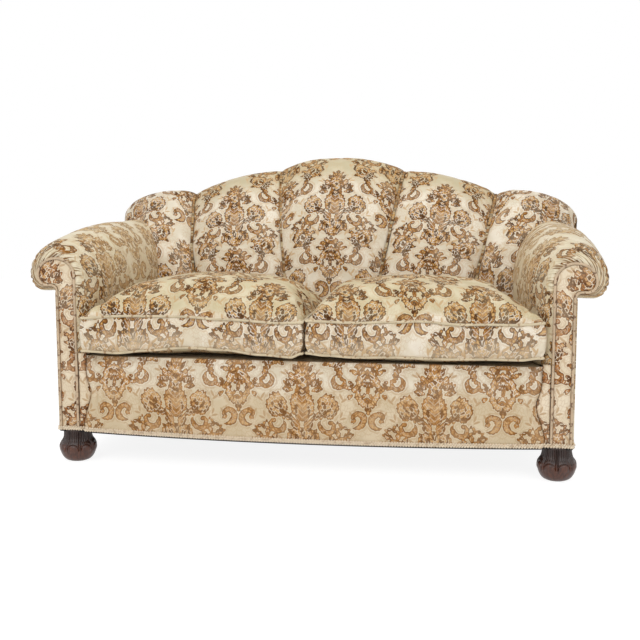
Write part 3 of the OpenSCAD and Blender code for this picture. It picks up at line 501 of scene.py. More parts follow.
facing = facing_grid()
pipe_line = even_line(scroll_path(), 330)
pipe_path = places(pipe_line[:, 0], FRONT_Y - FIT - PIPE_R, pipe_line[:, 1])
pipe_path += 0.35 * jitter(pipe_path, 22, (71, 72, 73))


def outside_arm_grid():
    count = 60
    y, rise = np.linspace(FRONT_Y + 1, plane_y(-1, FOOT_H), count), np.linspace(0, 1, 40)[:, None]
    z = mix(FOOT_H, mix(ARM_FRONT["under"], ARM_REAR["under"], swelled(y)) - 0.8, rise)
    leaned = y + (z - FOOT_H) * tan(RAKE) * np.maximum(0, y - FRONT_Y) / (y[-1] - FRONT_Y)
    puff = 3.0 * np.sin(pi * rise) ** 0.6 * np.abs(np.sin(pi * np.arange(count) / (count - 1))) ** 0.6
    grid = places(BASE_HALF + puff, leaned, z)
    grid[:, :, 0] += 0.6 * soft_noise(grid, 80, 81) * (grid[:, :, 0] > BASE_HALF + 0.5)
    return grid


def return_edge(z):
    """Inner edge of the strip beside the border, which tucks away towards the piping at its foot."""
    return BORDER_X + 12 * (1 - ease(BRAID_Z + BRAID_H, 190, z)) - 17 * np.exp(-((z - 230) / 42) ** 2)


outside_arm = outside_arm_grid()
strip_z = np.linspace(OVER_BRAID, DECK_Z + 6, 60)[:, None]
strip_s = np.linspace(0, 1, 13)
strip_x = mix(return_edge(strip_z) + 0.8, FRAME_IN - PIPE_R - 0.8, strip_s)
bulge = 9.5 * np.sqrt(np.maximum(1 - (2 * strip_s - 1) ** 2, 0)) * (0.65 + 0.35 * ease(120, 260, strip_z))
strip = places(strip_x, FRONT_Y + 1.5 - bulge, strip_z)
strip[:, :, 1] += 0.8 * soft_noise(strip, 45, 91)


def flattened(grid, axis, value):
    """The grid pressed onto a plane, for the back of a pad."""
    out = grid.copy()
    out[:, :, axis] = value
    return out


arm_pieces = []
for side, is_right in SIDES:
    flip = 1 if is_right else -1

    def pad(name, grid, axis, value, u, v, node=None):
        piece = slab(f"{side}_{name}", sided(is_right, grid), sided(is_right, flattened(grid, axis, value)),
                     places(u * flip, v))
        if node:
            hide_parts(f"{side}_{node}")
        arm_pieces.append(piece)

    arm = ring_loft(f"{side}_arm_cover", sided(is_right, closed_rings), closed_uv * np.array([flip, 1]), sharp=75)
    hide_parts(f"{side}_inside_arm")
    arm_pieces.append(arm)
    pad("facing_pad", facing, 1, FRONT_Y + 0.2, facing[:, :, 0] - SCROLL_X + 165, facing[:, :, 2] - 250, "facing")
    piping = tube(f"{side}_facing_welt", sided(is_right, pipe_path), PIPE_R, 10, ref=(0, 1, 0))
    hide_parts(f"{side}_facing_piping")
    arm_pieces.append(piping)
    pad("outside_arm_cover", outside_arm, 0, FRAME_OUT + 0.1, 2 * REPEAT_W - outside_arm[:, :, 1], outside_arm[:, :, 2],
        "outside_arm")
    pad("arm_return", strip, 1, FRONT_Y + 6.7, strip_x - 590, strip_z - 250)

# ---------------------------------------------------------------------------
# Outside back, and the front border with its sag
# ---------------------------------------------------------------------------
def roll_outline(x):
    """Foot and top of the arm roll's rear end at x, drawn in a little."""
    inner, outer, top = ARM_REAR["inner"] + 6, ARM_REAR["outer"] - 6, ARM_REAR["top"] - 6
    cx, low = (inner + outer) / 2, ARM_REAR["under"] + 6
    bulge, s = (ARM_REAR["bulge"], (cx - x) / (cx - inner)) if x < cx else (low + ROLL_DROP, (x - cx) / (outer - cx))
    high = bulge + (top - bulge) * sqrt(max(0, 1 - s * s)) if s < 1 else bulge
    d = min(1, max(0, (x - outer + ROLL_KNEE) / ROLL_KNEE))
    return low + ROLL_DROP * (1 - sqrt(1 - d * d)), high


def outside_back_grid():
    outer = ARM_REAR["outer"] - 6
    ends = [outer * cos(t) for t in np.linspace(0, 0.42, 9)]
    rise = (1 - np.cos(np.linspace(0, pi, 60))) / 2
    columns = []
    for x in sorted(set(np.round([-e for e in ends] + [*np.linspace(-BASE_HALF, BASE_HALF, 90)] + ends, 3))):
        a = abs(x)
        foot, top = roll_outline(a)
        if a <= FRAME_OUT:
            top = max(top if a > ARM_REAR["inner"] + 6 else 0, top_rail_z(a) + 10)
        z = mix(FOOT_H + 0.5 if a <= BASE_HALF else foot, top, rise)
        puff = 4.0 * np.sin(pi * rise) ** 0.5 * max(0, 1 - (a / 870) ** 6)
        columns.append(places(x, plane_y(0, z) + 5 + puff, z))
    grid = np.stack(columns, 1)
    grid[:, :, 1] += 0.8 * soft_noise(grid, 120, 101)
    return grid


back_grid = outside_back_grid()
back_inner = places(back_grid[:, :, 0], plane_y(0.1, back_grid[:, :, 2]), back_grid[:, :, 2])
outside_back = slab("outside_back_cover", back_grid, back_inner,
                    places(-back_grid[:, :, 0], back_grid[:, :, 2] / cos(RAKE)))
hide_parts("outside_back")

# How far the border stands behind its plane at shares of its height, from the braid to the top
BORDER_SHARES, BORDER_OFFSETS = [0, 0.07, 0.35, 0.6, 0.84, 0.93, 0.97, 1.0], [0, 0, -6, -8, -4, 3, 9, 17]
border_rise = np.linspace(0, 1, 60)
border_depth = BORDER_FRONT + np.interp(border_rise, BORDER_SHARES, BORDER_OFFSETS)
border_x = BORDER_X * np.sin(np.linspace(-pi / 2, pi / 2, 181))
columns = []
for x in border_x:
    y = np.pad(border_depth - BORDER_BOW * bowed(x), 3, mode="edge")
    columns.append(places(x, np.convolve(y, np.ones(7) / 7, "valid"),
                          mix(FOOT_H + 1 - SAG * bowed(x), DECK_Z - 2, border_rise)))
border = np.stack(columns, 1)
edge = BORDER_X - np.abs(border[:, :, 0])
border[:, :, 0] *= 1 + (return_edge(border[:, :, 2]) - BORDER_X) / BORDER_X * np.abs(border[:, :, 0] / BORDER_X) ** 10
border[:, :, 1] += 17 * np.exp(-edge / 6.0)
border[:, :, 1] -= (2.2 * soft_noise(border * np.array([1, 1, 0.45]), 130, 111)
                    + 1.0 * soft_noise(border * np.array([1, 1, 0.4]), 48, 112)) * ease(0, 25, edge)
crease = np.exp(-((edge - 34 - 6 * np.sin(border[:, :, 2] / 60)) / 5) ** 2) * ease(0.1, 0.5, border_rise)[:, None]
border[:, :, 1] += 6.0 * crease
front_border = slab("front_border_cover", border, flattened(border, 1, BORDER_FRONT + BORDER_OUT - 0.5),
                    places(border[:, :, 0] + 7, border[:, :, 2] - 219))
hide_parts("front_border")

# ---------------------------------------------------------------------------
# Cushions: cover, filling shape and piping
# ---------------------------------------------------------------------------
ACROSS, ALONG, SIDE_ROWS = 72, 52, 14
CLOTH_AT = {"left": 139.0, "right": 130.0}
WELT_BELOW = 40      # how far below the pattern's start the upper welt lies; the boxing goes on from there
# How the lower and the upper piping wave along the front: (distance from the sofa's middle, change of height)
WAVES = {
    "left": ([(8, -2), (42, -14), (135, -9), (254, 4), (357, 8), (488, -3), (603, -14), (700, -9)],
             [(8, -5), (83, -8), (252, 0), (424, 7), (600, 4), (705, -4)]),
    "right": ([(8, 0), (62, -5), (141, -10), (292, -7), (411, -9), (529, -7), (645, -6), (702, 1)],
              [(8, 1), (171, -3), (261, 2), (351, 5), (468, -3), (614, 0), (671, 3), (710, 7)])}


def cushion_plan(cols, rows, e=0.0):
    """The right cushion in plan, drawn in by e: its turns across and to the back, and the places."""
    u, v = np.linspace(0, pi, cols)[None, :], np.linspace(0, pi, rows)[:, None]
    su, sv = (1 - np.cos(u)) / 2, (1 - np.cos(v)) / 2
    y = mix(CUSHION_FRONT + e, CUSHION_REAR - e, sv)
    x0 = CUSHION_GAP / 2 + 2 * PIPE_R + FIT + e
    x1 = mix(ARM_FRONT["inner"], ARM_REAR["inner"], swelled(y)) - CUSHION_GAP - 2 * PIPE_R - FIT - e
    pull_x, pull_y = DRAW / 2 * np.sin(v), DRAW * np.sin(u)
    return u, v, *np.broadcast_arrays(mix(x0 + pull_x, x1 - pull_x, su), mix(y + pull_y, y - pull_y, sv))


def wave(side, upper, at):
    """Change of height of the lower or upper seam at the places."""
    xs, zs = np.array(WAVES[side][upper], float).T
    x = np.clip(at[..., 0], xs[0], xs[-1])
    k = np.clip(np.searchsorted(xs, x, side="right") - 1, 0, len(xs) - 2)
    return (mix(zs[k], zs[k + 1], ease(xs[k], xs[k + 1], x))
            * (1 - ease(CUSHION_FRONT + 30, CUSHION_FRONT + 190, at[..., 1])))


def puffed(obj, held, most, frames=24, pressure=4.0, spare=0.045):
    """Fills a cover with air by cloth simulation. The held points, its seams and underside, stay; no other
    point moves more than so many millimetres; the cover has a little spare cloth, which wrinkles."""
    seams = obj.vertex_groups.new(name="seams")
    seams.add([int(i) for i in held], 1.0, "REPLACE")
    mod = obj.modifiers.new("cloth", "CLOTH")
    cloth = mod.settings
    for key, value in dict(
            quality=5, mass=0.3, tension_stiffness=18, compression_stiffness=18, shear_stiffness=6,
            bending_stiffness=0.8, air_damping=2, use_pressure=True, uniform_pressure_force=pressure,
            vertex_group_mass="seams", shrink_min=-spare).items():
        setattr(cloth, key, value)
    cloth.effector_weights.gravity = 0
    mod.point_cache.frame_start, mod.point_cache.frame_end = 1, frames
    scene = bpy.context.scene
    for number in range(1, frames + 1):
        scene.frame_set(number)
    before = np.array([v.co for v in obj.data.vertices])
    done = obj.evaluated_get(bpy.context.evaluated_depsgraph_get())
    step = np.array([v.co for v in done.data.vertices]) - before
    far = np.linalg.norm(step, axis=1, keepdims=True)
    step *= np.minimum(1, most * MM / np.maximum(far, 1e-9))
    obj.modifiers.remove(mod)
    obj.vertex_groups.remove(seams)
    obj.data.vertices.foreach_set("co", (before + step).ravel())
    obj.data.update()
    scene.frame_set(1)


def cushion(side, is_right, seed):
    """A boxed cover between two seams, its crown and belly, and the piping on both seams."""
    u, v, x, y = cushion_plan(ACROSS + 1, ALONG + 1)
    crown = np.sin(u) ** 0.8 * np.sin(v) ** 0.8
    top = places(x, y, UPPER_PIPE_Z + CROWN * crown)
    low = places(x, y, LOWER_PIPE_Z - BELLY * ease(0.30, 0.90, crown))
    top[:, :, 2] += wave(side, 1, top) * (1 - 0.5 * crown)
    low[:, :, 2] = np.maximum(low[:, :, 2] + wave(side, 0, low), DECK_Z + FIT)
    top[:, :, 2] += (4.5 * soft_noise(top, 120, seed) + 2.2 * soft_noise(top, 45, seed + 1)) * ease(0.02, 0.5, crown)
    edge_pull = np.exp(-np.minimum(np.sin(u), np.sin(v)) * 12)
    top[:, :, 2] -= 2.0 * edge_pull * (crown > 0) * (0.5 + 0.5 * np.sin(x / 9 + 2 * soft_noise(top, 60, seed + 2)))

    n_top, cols, rim = top.shape[0] * top.shape[1], top.shape[1], rim_of(*top.shape[:2])
    m = len(rim)
    loop = top.reshape(-1, 3)[rim] * np.array([1.0, 1.0, 0.0])
    ahead = np.roll(loop, -1, 0) - np.roll(loop, 1, 0)
    outward = unit(places(ahead[:, 1], -ahead[:, 0], 0 * loop[:, 0]))
    far = run(np.concatenate([loop, loop[:1]]))
    lift = [wave(side, upper, loop) for upper in (0, 1)]

    # Cloth places over the crown are measured over the cloth, from its middle column and its front edge
    faces = grid_faces(*top.shape[:2])
    middle, across = cols // 2, run(top, 1)
    over = places(across - across[:, middle:middle + 1] + top[0, middle, 0] - CLOTH_AT[side],
                  run(top) - WELT_BELOW).reshape(-1, 2)
    flat = top[:, :, :2].reshape(-1, 2) - np.array([CLOTH_AT[side], CUSHION_FRONT + WELT_BELOW])
    cloth = [over[i] for f in faces for i in f] + [flat[i] for f in faces for i in reversed(f)]
    faces += [tuple(n_top + i for i in reversed(f)) for f in faces]

    verts = [top.reshape(-1, 3), low.reshape(-1, 3)]
    shares = np.linspace(0, 1, SIDE_ROWS + 1)
    for h in shares[1:-1]:
        ring = places(loop[:, 0], loop[:, 1], mix(LOWER_PIPE_Z + lift[0], UPPER_PIPE_Z + lift[1], h))
        bow = (7.0 * sin(pi * h) ** 0.8
               + 1.6 * soft_noise(ring * np.array([1, 1, 0.4]), 55, seed + 3) * sin(pi * h))
        bow -= 1.8 * (0.5 + 0.5 * np.sin(far[:-1] / 10.5 + 2 * soft_noise(loop, 80, seed + 4))) * abs(2 * h - 1) ** 3
        verts.append(ring + outward * bow[:, None])
    layers = [[n_top + i for i in rim], *([2 * n_top + k * m + i for i in range(m)] for k in range(SIDE_ROWS - 1)), rim]
    heights = [mix(LOWER_PIPE_Z, UPPER_PIPE_Z, h) - UPPER_PIPE_Z - WELT_BELOW for h in shares]
    start = loop[0, 0] - CLOTH_AT[side]
    for a, b, v0, v1 in zip(layers, layers[1:], heights, heights[1:]):
        for i in range(m):
            j = (i + 1) % m
            faces.append((a[i], a[j], b[j], b[i]))
            cloth += [(far[i] + start, v0), (far[i + 1] + start, v0), (far[i + 1] + start, v1), (far[i] + start, v1)]
    cover = add_mesh(f"{side}_seat_cushion", sided(is_right, np.concatenate(verts)), faces,
                     np.array(cloth) * np.array([1 if is_right else -1, 1]), sharp=180)
    puffed(cover, rim + list(range(n_top, 2 * n_top)), 24)
    fine = cover.modifiers.new("fine", "SUBSURF")
    fine.levels = fine.render_levels = 1
    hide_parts(f"{side}_cushion_cover")

    welts = []
    for z, rise, s in ((LOWER_PIPE_Z, lift[0], 7), (UPPER_PIPE_Z, lift[1], 9)):
        line = loop + outward * (PIPE_R + FIT)
        line[:, 2] = z + rise
        line = even_line(np.concatenate([line, line[:1]]), 420)[:-1]
        line[:, 2] += 0.9 * soft_noise(line, 60, seed + s)
        line[:, :2] += 0.3 * jitter(line, 18, (seed + s + 1, seed + s + 2))
        welts.append(tube("welt", sided(is_right, line), PIPE_R, closed=True))
    piping = joined(f"{side}_cushion_welts", welts)
    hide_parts(f"{side}_cushion_piping")
    return cover, piping


cushion_pieces = {side: cushion(side, is_right, 200 + 40 * is_right) for side, is_right in SIDES}

# ---------------------------------------------------------------------------
# Feet: carved buns at the front, plain turned ones at the rear
# ---------------------------------------------------------------------------
BUN_LINE = [(30, 0), (40, 4.5), (47.5, 12), (54, 24), (57.5, 36), (58.5, 46), (57, 56), (53, 64), (48, 71), (45, 79),
            (43.5, 90), (43.5, 98), (44, 105)]
EGGS = 8


def notch(c, at, width):
    return np.exp(-((c - at) / width) ** 2)


def bun_foot(name, x, turned):
    """A carved bun: eggs under arches on its shoulder, with darts between them that run up the neck."""
    line = smooth_line(BUN_LINE, 96)
    line[0, 1], line[-1, 1] = 0, FOOT_H
    t = np.linspace(0, 2 * pi, 288, endpoint=False)
    c = np.abs(np.mod((t + pi / 2) * EGGS / (2 * pi) + turned, 1) - 0.5)[None, :]
    r, z = line[:, :1], line[:, 1:]
    e = np.sqrt((c / 0.37) ** 2 + ((z - 42) / 15) ** 2)
    neck = 1 - ease(98, 103, z)
    carve = 2.2 * np.sqrt(np.maximum(0, 1 - e * e)) * ease(26, 44, z)
    carve = carve - 2.6 * notch(e, 1.09, 0.09) * ease(38, 47, z) * (c < 0.44)
    carve = carve - 3.2 * notch(c, 0.42, 0.030) * ease(32, 42, z) * neck
    carve = carve + 1.2 * notch(c, 0.5, 0.035) * ease(28, 38, z) * neck
    carve = carve - 2.2 * (notch(c, 0.10, 0.035) + notch(c, 0.27, 0.035)) * ease(60, 70, z) * neck
    rr = r + carve + 0.25 * soft_noise(places(40 * np.cos(t), 40 * np.sin(t), z), 9, 17)
    return ring_loft(name, places(rr * np.cos(t) + x, rr * np.sin(t) + FOOT_Y, z),
                     places(np.linspace(0, 2 * pi * BUN_R, 289), run(line)[:, None]), sharp=50)


def turned_foot(name, x):
    """A plain tapered rear foot with a small collar."""
    line = smooth_line([(18, 0), (20.5, 1.5), (22, 12), (26.5, 78), (27.2, 90)], 30).tolist()
    r, z = np.array(line + [(28.6, 91), (30, 92.5), (30, 103.5), (29, 105)]).T[:, :, None]
    t = np.linspace(0, 2 * pi, 48, endpoint=False)
    return ring_loft(name, places(r * np.cos(t) + x, r * np.sin(t) + REAR_FOOT_Y, z),
                     places(np.linspace(0, 170, 49), z), sharp=35)


feet = []
for side, is_right in SIDES:
    foot = bun_foot(f"{side}_front_bun", FOOT_X if is_right else -FOOT_X, 0.05 if is_right else 0.40)
    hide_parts(f"{side}_front_foot")
    rear = turned_foot(f"{side}_rear_turned_foot", REAR_FOOT_X if is_right else -REAR_FOOT_X)
    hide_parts(f"{side}_rear_foot")
    feet += [foot, rear]

# ---------------------------------------------------------------------------
# Under the cushions and under the seat: deck, canvases, webbing, dust cover and the cushions' pads
# ---------------------------------------------------------------------------
IN_X, RAIL_FRONT, RAIL_REAR = FRAME_IN - 0.5, -408.0, 288.0
WEB_W, WEB_T, CANVAS_TOP, DECK_T = 50.0, 1.5, 337.7, 12.0


def plan_grid(x0, x1, y0, y1, cols, rows):
    return np.meshgrid(np.linspace(x0, x1, cols), np.linspace(y0, y1, rows))


def sheet_of(name, front, thick, direction):
    """A thin cloth: a grid of places and the same grid moved by its thickness, and its flat size."""
    across, up = run(front, 1), run(front)
    piece = slab(name, front, front + thick * np.array(direction), places(across, up))
    return piece, across[:, -1].mean() * MM, up[-1].mean() * MM


def pillow(x, y, x0, x1, y0, y1, power=0.35):
    """From 0 at the edges of a rectangle to 1 in its middle."""
    share_x, share_y = np.clip((x - x0) / (x1 - x0), 0, 1), np.clip((y - y0) / (y1 - y0), 0, 1)
    return (np.sin(pi * share_x) * np.sin(pi * share_y)) ** power


hidden = {}
x, y = plan_grid(-IN_X, IN_X, RAIL_FRONT, RAIL_REAR, 120, 60)
deck = places(x, y, DECK_Z - 5 + 5 * pillow(x, y, -IN_X, IN_X, RAIL_FRONT, RAIL_REAR)
              - 0.5 - 0.5 * soft_noise(places(x, y), 90, 131))
hidden["deck_cover"] = (slab("deck_cover", deck, flattened(deck, 2, DECK_Z - DECK_T), deck[:, :, :2]),
                        "seat_platform", "canvas")

x, y = plan_grid(-IN_X, IN_X, RAIL_FRONT, RAIL_REAR, 90, 50)
canvas = places(x, y, CANVAS_TOP - 0.2 - 1.2 + 0.4 * np.sin(x / 40) * np.sin(y / 40))
seat_canvas, *seat_cut = sheet_of("seat_spring_canvas", canvas, 0.9, (0, 0, -1))
hidden["seat_canvas"] = (seat_canvas, "spring_canvas", "canvas")

knee, top_z = mix(LEAN_Z, SEAM_OUT[2], 0.256), mix(LEAN_Z, SEAM_OUT[2], 0.66)
line = even_line([(-CANVAS_N + 0.9, up_lean(DECK_Z) + 2.5), (-CANVAS_N + 0.9, up_lean(knee) - 0.5),
                  (-RAIL_T - WEB_T - 0.4, up_lean(top_z) - 1.5)], 50)
y, z = lean(line[:, :1], line[:, 1:])
half = ARM_REAR["inner"] - 3
back_sheet, *back_cut = sheet_of("back_spring_canvas", places(np.linspace(-half, half, 90), y, z), 0.8,
                                 (0, cos(RAKE), -sin(RAKE)))
hidden["back_canvas"] = (back_sheet, "back_canvas", "canvas")


def straps(name, lines, across):
    """Webbing straps along lines of places, each WEB_W wide along the direction across, and their length."""
    parts = []
    for line in lines:
        line = even_line(line, 90)
        n = unit(np.cross(np.gradient(line, axis=0), across))
        front = np.stack([line + np.array(across) * w for w in np.linspace(-WEB_W / 2, WEB_W / 2, 5)], 1)
        parts.append(slab("strap", front, front - n[:, None, :] * (WEB_T - 0.5),
                          places(np.linspace(0, WEB_W, 5), run(line)[:, None])))
    return joined(name, parts), sum(run(np.asarray(line, float))[-1] for line in lines) * MM


ROW_PITCH, COLUMN_PITCH = 241.5, 258.8
SEAT_ROWS, SEAT_COLUMNS = [-303.0 + i * ROW_PITCH for i in range(3)], [-647.0 + i * COLUMN_PITCH for i in range(6)]
web_z, WEAVE = FOOT_H - WEB_T + 0.2, 0.9


def over_under(far, pitch, number):
    """How a strap of the seat passes over one strap that crosses it and under the next."""
    return WEAVE * np.cos(pi * (far / pitch + number))


x, y = np.linspace(-790, 790, 200), np.linspace(-396, RAIL_REAR, 120)
seat_rows, rows_length = straps("row", [
    places(x, at, web_z + over_under(x - SEAT_COLUMNS[0], COLUMN_PITCH, number))
    for number, at in enumerate(SEAT_ROWS)], (0, 1, 0))
seat_columns, columns_length = straps("column", [
    places(at, y, web_z - over_under(y - SEAT_ROWS[0], ROW_PITCH, number))
    for number, at in enumerate(SEAT_COLUMNS)], (-1, 0, 0))
webbing = joined("seat_straps", [seat_rows, seat_columns])
hidden["seat_straps"] = (webbing, "seat_webbing", "webbing")
back_pitch = LEAN_Z * 0.476 / 2
back_webbing, back_length = straps("back_straps", [
    [(i * back_pitch, *lean(-RAIL_T - 0.3, v)) for v in np.linspace(up_lean(336 + WEB_T), up_lean(top_z), 60)]
    for i in range(-4, 5)], (-1, 0, 0))
hidden["back_straps"] = (back_webbing, "back_webbing", "webbing")

# The dust cover is cut out round the feet; its cells are kept where no foot stands
COVER_X, COVER_FRONT, COVER_REAR = 796.0, -404.0, 294.0
NOTCH_X, NOTCH_FRONT, NOTCH_REAR = 702.0, -316.0, 238.0
x, y = np.meshgrid(sorted({-COVER_X, COVER_X, -NOTCH_X, NOTCH_X, *np.linspace(-780, 780, 90)}),
                   sorted({COVER_FRONT, COVER_REAR, NOTCH_FRONT, NOTCH_REAR, *np.linspace(-390, 280, 42)}))
lower = places(x, y, 100.3 - pillow(x, y, -COVER_X, COVER_X, COVER_FRONT, COVER_REAR, 1.0))
cover_verts = np.concatenate([lower.reshape(-1, 3), (lower + np.array([0, 0, 0.8])).reshape(-1, 3)])
rows, cols = x.shape
mid_x, mid_y = np.abs(x[:, :-1] + x[:, 1:])[:-1] / 2, (y[:-1] + y[1:])[:, :-1] / 2
kept = (mid_x <= NOTCH_X) | ((mid_y >= NOTCH_FRONT) & (mid_y <= NOTCH_REAR))
cells = {(r, c) for r, c in np.argwhere(kept).tolist()}
cover_faces = []
over = rows * cols
for r, c in sorted(cells):
    a = r * cols + c
    b, d, e = a + 1, a + cols + 1, a + cols
    cover_faces += [(e, d, b, a), (over + a, over + b, over + d, over + e)]
    for near, p, q in (((r - 1, c), a, b), ((r + 1, c), d, e), ((r, c - 1), e, a), ((r, c + 1), b, d)):
        if near not in cells:
            cover_faces.append((p, q, over + q, over + p))
used = sorted({i for f in cover_faces for i in f})
index = {old: new for new, old in enumerate(used)}
dust_cover = add_mesh("black_dust_cover", cover_verts[used], [tuple(index[i] for i in f) for f in cover_faces],
                      [cover_verts[i, :2] for f in cover_faces for i in f], sharp=40)
hidden["dust_cover"] = (dust_cover, "dust_cover", "black_cloth")
cover_area = sum((x[r, c + 1] - x[r, c]) * (y[r + 1, c] - y[r, c]) for r, c in sorted(cells)) * 1e-6

# A strip of the black dust cover turned up below the braid; its dark line also stands in for the shade under the front
# edge
hem_x = np.linspace(-BORDER_X, BORDER_X, 90)
hem_end = [(FRAME_OUT + 4, FRONT_Y + 2, 0), (BORDER_X + 8, FRONT_Y + 1, 0)]
hem_middle = places(hem_x, BORDER_FRONT - BORDER_BOW * bowed(hem_x) + 2.5, -SAG * bowed(hem_x))
hem = np.concatenate([[(-x, y, z) for x, y, z in hem_end], hem_middle, hem_end[::-1]])
hem_and_shade_front = np.stack([hem + np.array([0, 0, z]) for z in (100.2, 103, 106)])
black_hem_and_shade_line = slab("dust_cover_hem_and_shade_line", hem_and_shade_front, hem_and_shade_front + np.array([0, 1.2, 0]), hem_and_shade_front[:, :, [0, 2]])

PAD_INSET, PAD_Z, PAD_RISE = 32.0, 429, 43
pads = []
for side, is_right in SIDES:
    u, v, x, y = cushion_plan(40, 30, PAD_INSET)
    crown = (np.sin(u) * np.sin(v)) ** 0.35
    high, low = (sided(is_right, places(x, y, PAD_Z + way * (1 + PAD_RISE * crown))) for way in (1, -1))
    high[:, :, 2] += 1.5 * (soft_noise(high, 60, 141) - 1) * crown
    piece = slab(f"{side}_feather_pad", high, low, high[:, :, :2])
    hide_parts(f"{side}_cushion_pad")
    pads.append((side, piece))

# ---------------------------------------------------------------------------
# Short words for nodes, used by the braid and by the materials
# ---------------------------------------------------------------------------
class Bench:
    """The tree that is being built and, for a material, its shader and the way out."""
    tree = material = shader = surface = None


class Wire:
    """What comes out of a node. A sum with a wire in it adds the node that works it out."""
    def __init__(self, socket):
        self.socket = socket

    def __add__(self, other):
        return math_node("ADD", self, other)

    def __sub__(self, other):
        return math_node("SUBTRACT", self, other)

    def __rsub__(self, other):
        return math_node("SUBTRACT", other, self)

    def __mul__(self, other):
        return math_node("MULTIPLY", self, other)

    def __truediv__(self, other):
        return math_node("DIVIDE", self, other)

    def __abs__(self):
        return math_node("ABSOLUTE", self)


def put(value, socket):
    if isinstance(value, Wire):
        Bench.tree.links.new(value.socket, socket)
    else:
        socket.default_value = value


def node(kind, inputs=(), out=0, **props):
    made = Bench.tree.nodes.new(kind)
    for key, value in props.items():
        setattr(made, key, value)
    for key, value in dict(inputs).items():
        put(value, made.inputs[key])
    return made if out is None else Wire(made.outputs[out])


def outs(kind, inputs=(), **props):
    """Adds a node and gives all that comes out of it, by name."""
    return {socket.name: Wire(socket) for socket in node(kind, inputs, None, **props).outputs}


def math_node(kind, *values, clamp=False):
    return node("ShaderNodeMath", dict(enumerate(values)), operation=kind, use_clamp=clamp)


def madd(a, b, c):
    return math_node("MULTIPLY_ADD", a, b, c)


def least(a, b):
    return math_node("MINIMUM", a, b)


def most(a, b):
    return math_node("MAXIMUM", a, b)


def sine(a):
    return math_node("SINE", a)


def combined(x, y, z):
    return node("ShaderNodeCombineXYZ", {0: x, 1: y, 2: z})


def split(vector):
    return list(outs("ShaderNodeSeparateXYZ", {0: vector}).values())


def stretched(vector, x, y, z):
    return node("ShaderNodeVectorMath", {0: vector, 1: (x, y, z)}, operation="MULTIPLY")


def blend(share, a, b):
    return node("ShaderNodeMix", {0: share, 6: a, 7: b}, 2, data_type="RGBA", clamp_factor=True)


def step(value, low, high, a=0.0, b=1.0):
    return node("ShaderNodeMapRange", {"Value": value, "From Min": low, "From Max": high, "To Min": a, "To Max": b},
                interpolation_type="SMOOTHSTEP", clamp=True)


def noise(vector, scale, detail=1.0, rough=0.5):
    return node("ShaderNodeTexNoise", {"Vector": vector, "Scale": scale, "Detail": detail, "Roughness": rough})


def new_tree(kind, name, inputs, outputs):
    """Starts a node group. Its sockets are listed by their kind; what enters it comes back by name."""
    Bench.tree = bpy.data.node_groups.new(name, kind)
    for way, kinds in (("INPUT", inputs), ("OUTPUT", outputs)):
        for sort, labels in kinds.items():
            for label in labels:
                Bench.tree.interface.new_socket(label, in_out=way, socket_type="NodeSocket" + sort)
    return outs("NodeGroupInput")


def tree_with(**values):
    """Ends a node group with what comes out of it."""
    node("NodeGroupOutput", values, None)
    return Bench.tree


def linear(r, g, b):
    """A colour written as 0 to 255 in the way a screen shows it."""
    return tuple(((c / 255 + 0.055) / 1.055) ** 2.4 if c > 10 else c / 255 / 12.92 for c in (r, g, b)) + (1.0,)


def dyed(**dyes):
    return {key: linear(*dye) for key, dye in dyes.items()}


def begin(name, rough, gloss=0.5, sheen=0.0, sheen_rough=0.5):
    """Starts a material."""
    Bench.material = bpy.data.materials.new(name)
    Bench.material.use_nodes = True
    Bench.tree = Bench.material.node_tree
    Bench.tree.nodes.clear()
    Bench.shader = node("ShaderNodeBsdfPrincipled", {"Roughness": rough, "Specular IOR Level": gloss,
                                                     "Sheen Weight": sheen, "Sheen Roughness": sheen_rough}, None)
    Bench.surface = node("ShaderNodeOutputMaterial", {"Surface": Wire(Bench.shader.outputs[0])}, None).inputs["Surface"]


def finished(colour, rough=None, bump=None, metallic=None):
    """Ends a material; bump is its strength, its depth in metres and the wire with the height."""
    if bump:
        bump = node("ShaderNodeBump", dict(zip(("Strength", "Distance", "Height"), bump)))
    for key, value in (("Base Color", colour), ("Roughness", rough), ("Normal", bump), ("Metallic", metallic)):
        if value is not None:
            put(value, Bench.shader.inputs[key])
    return Bench.material


def cloth_places():
    return node("ShaderNodeUVMap", uv_map="cloth")


def sofa_places():
    return node("ShaderNodeTexCoord", out="Object")


# ---------------------------------------------------------------------------
# Braid: a twisted gimp made by Geometry Nodes along the bottom edge
# ---------------------------------------------------------------------------
def gimp_path():
    """The line of the braid's middle, all round the sofa."""
    z = BRAID_Z + BRAID_H / 2
    x = np.linspace(-BORDER_X, BORDER_X, 90)
    front = places(x, BORDER_FRONT - BORDER_BOW * bowed(x) - BRAID_T / 2 - 4.6, z - SAG * bowed(x))
    corner_y, side = FRONT_Y - BRAID_T / 2 - 3.2, BASE_HALF + BRAID_T / 2 + 0.4
    left = np.array([(-side, plane_y(5.3, z) + BRAID_T / 2, z), (-side, corner_y, z), (-BORDER_X - 6, corner_y, z)])
    return np.concatenate([left, front, sided(False, left[::-1])])


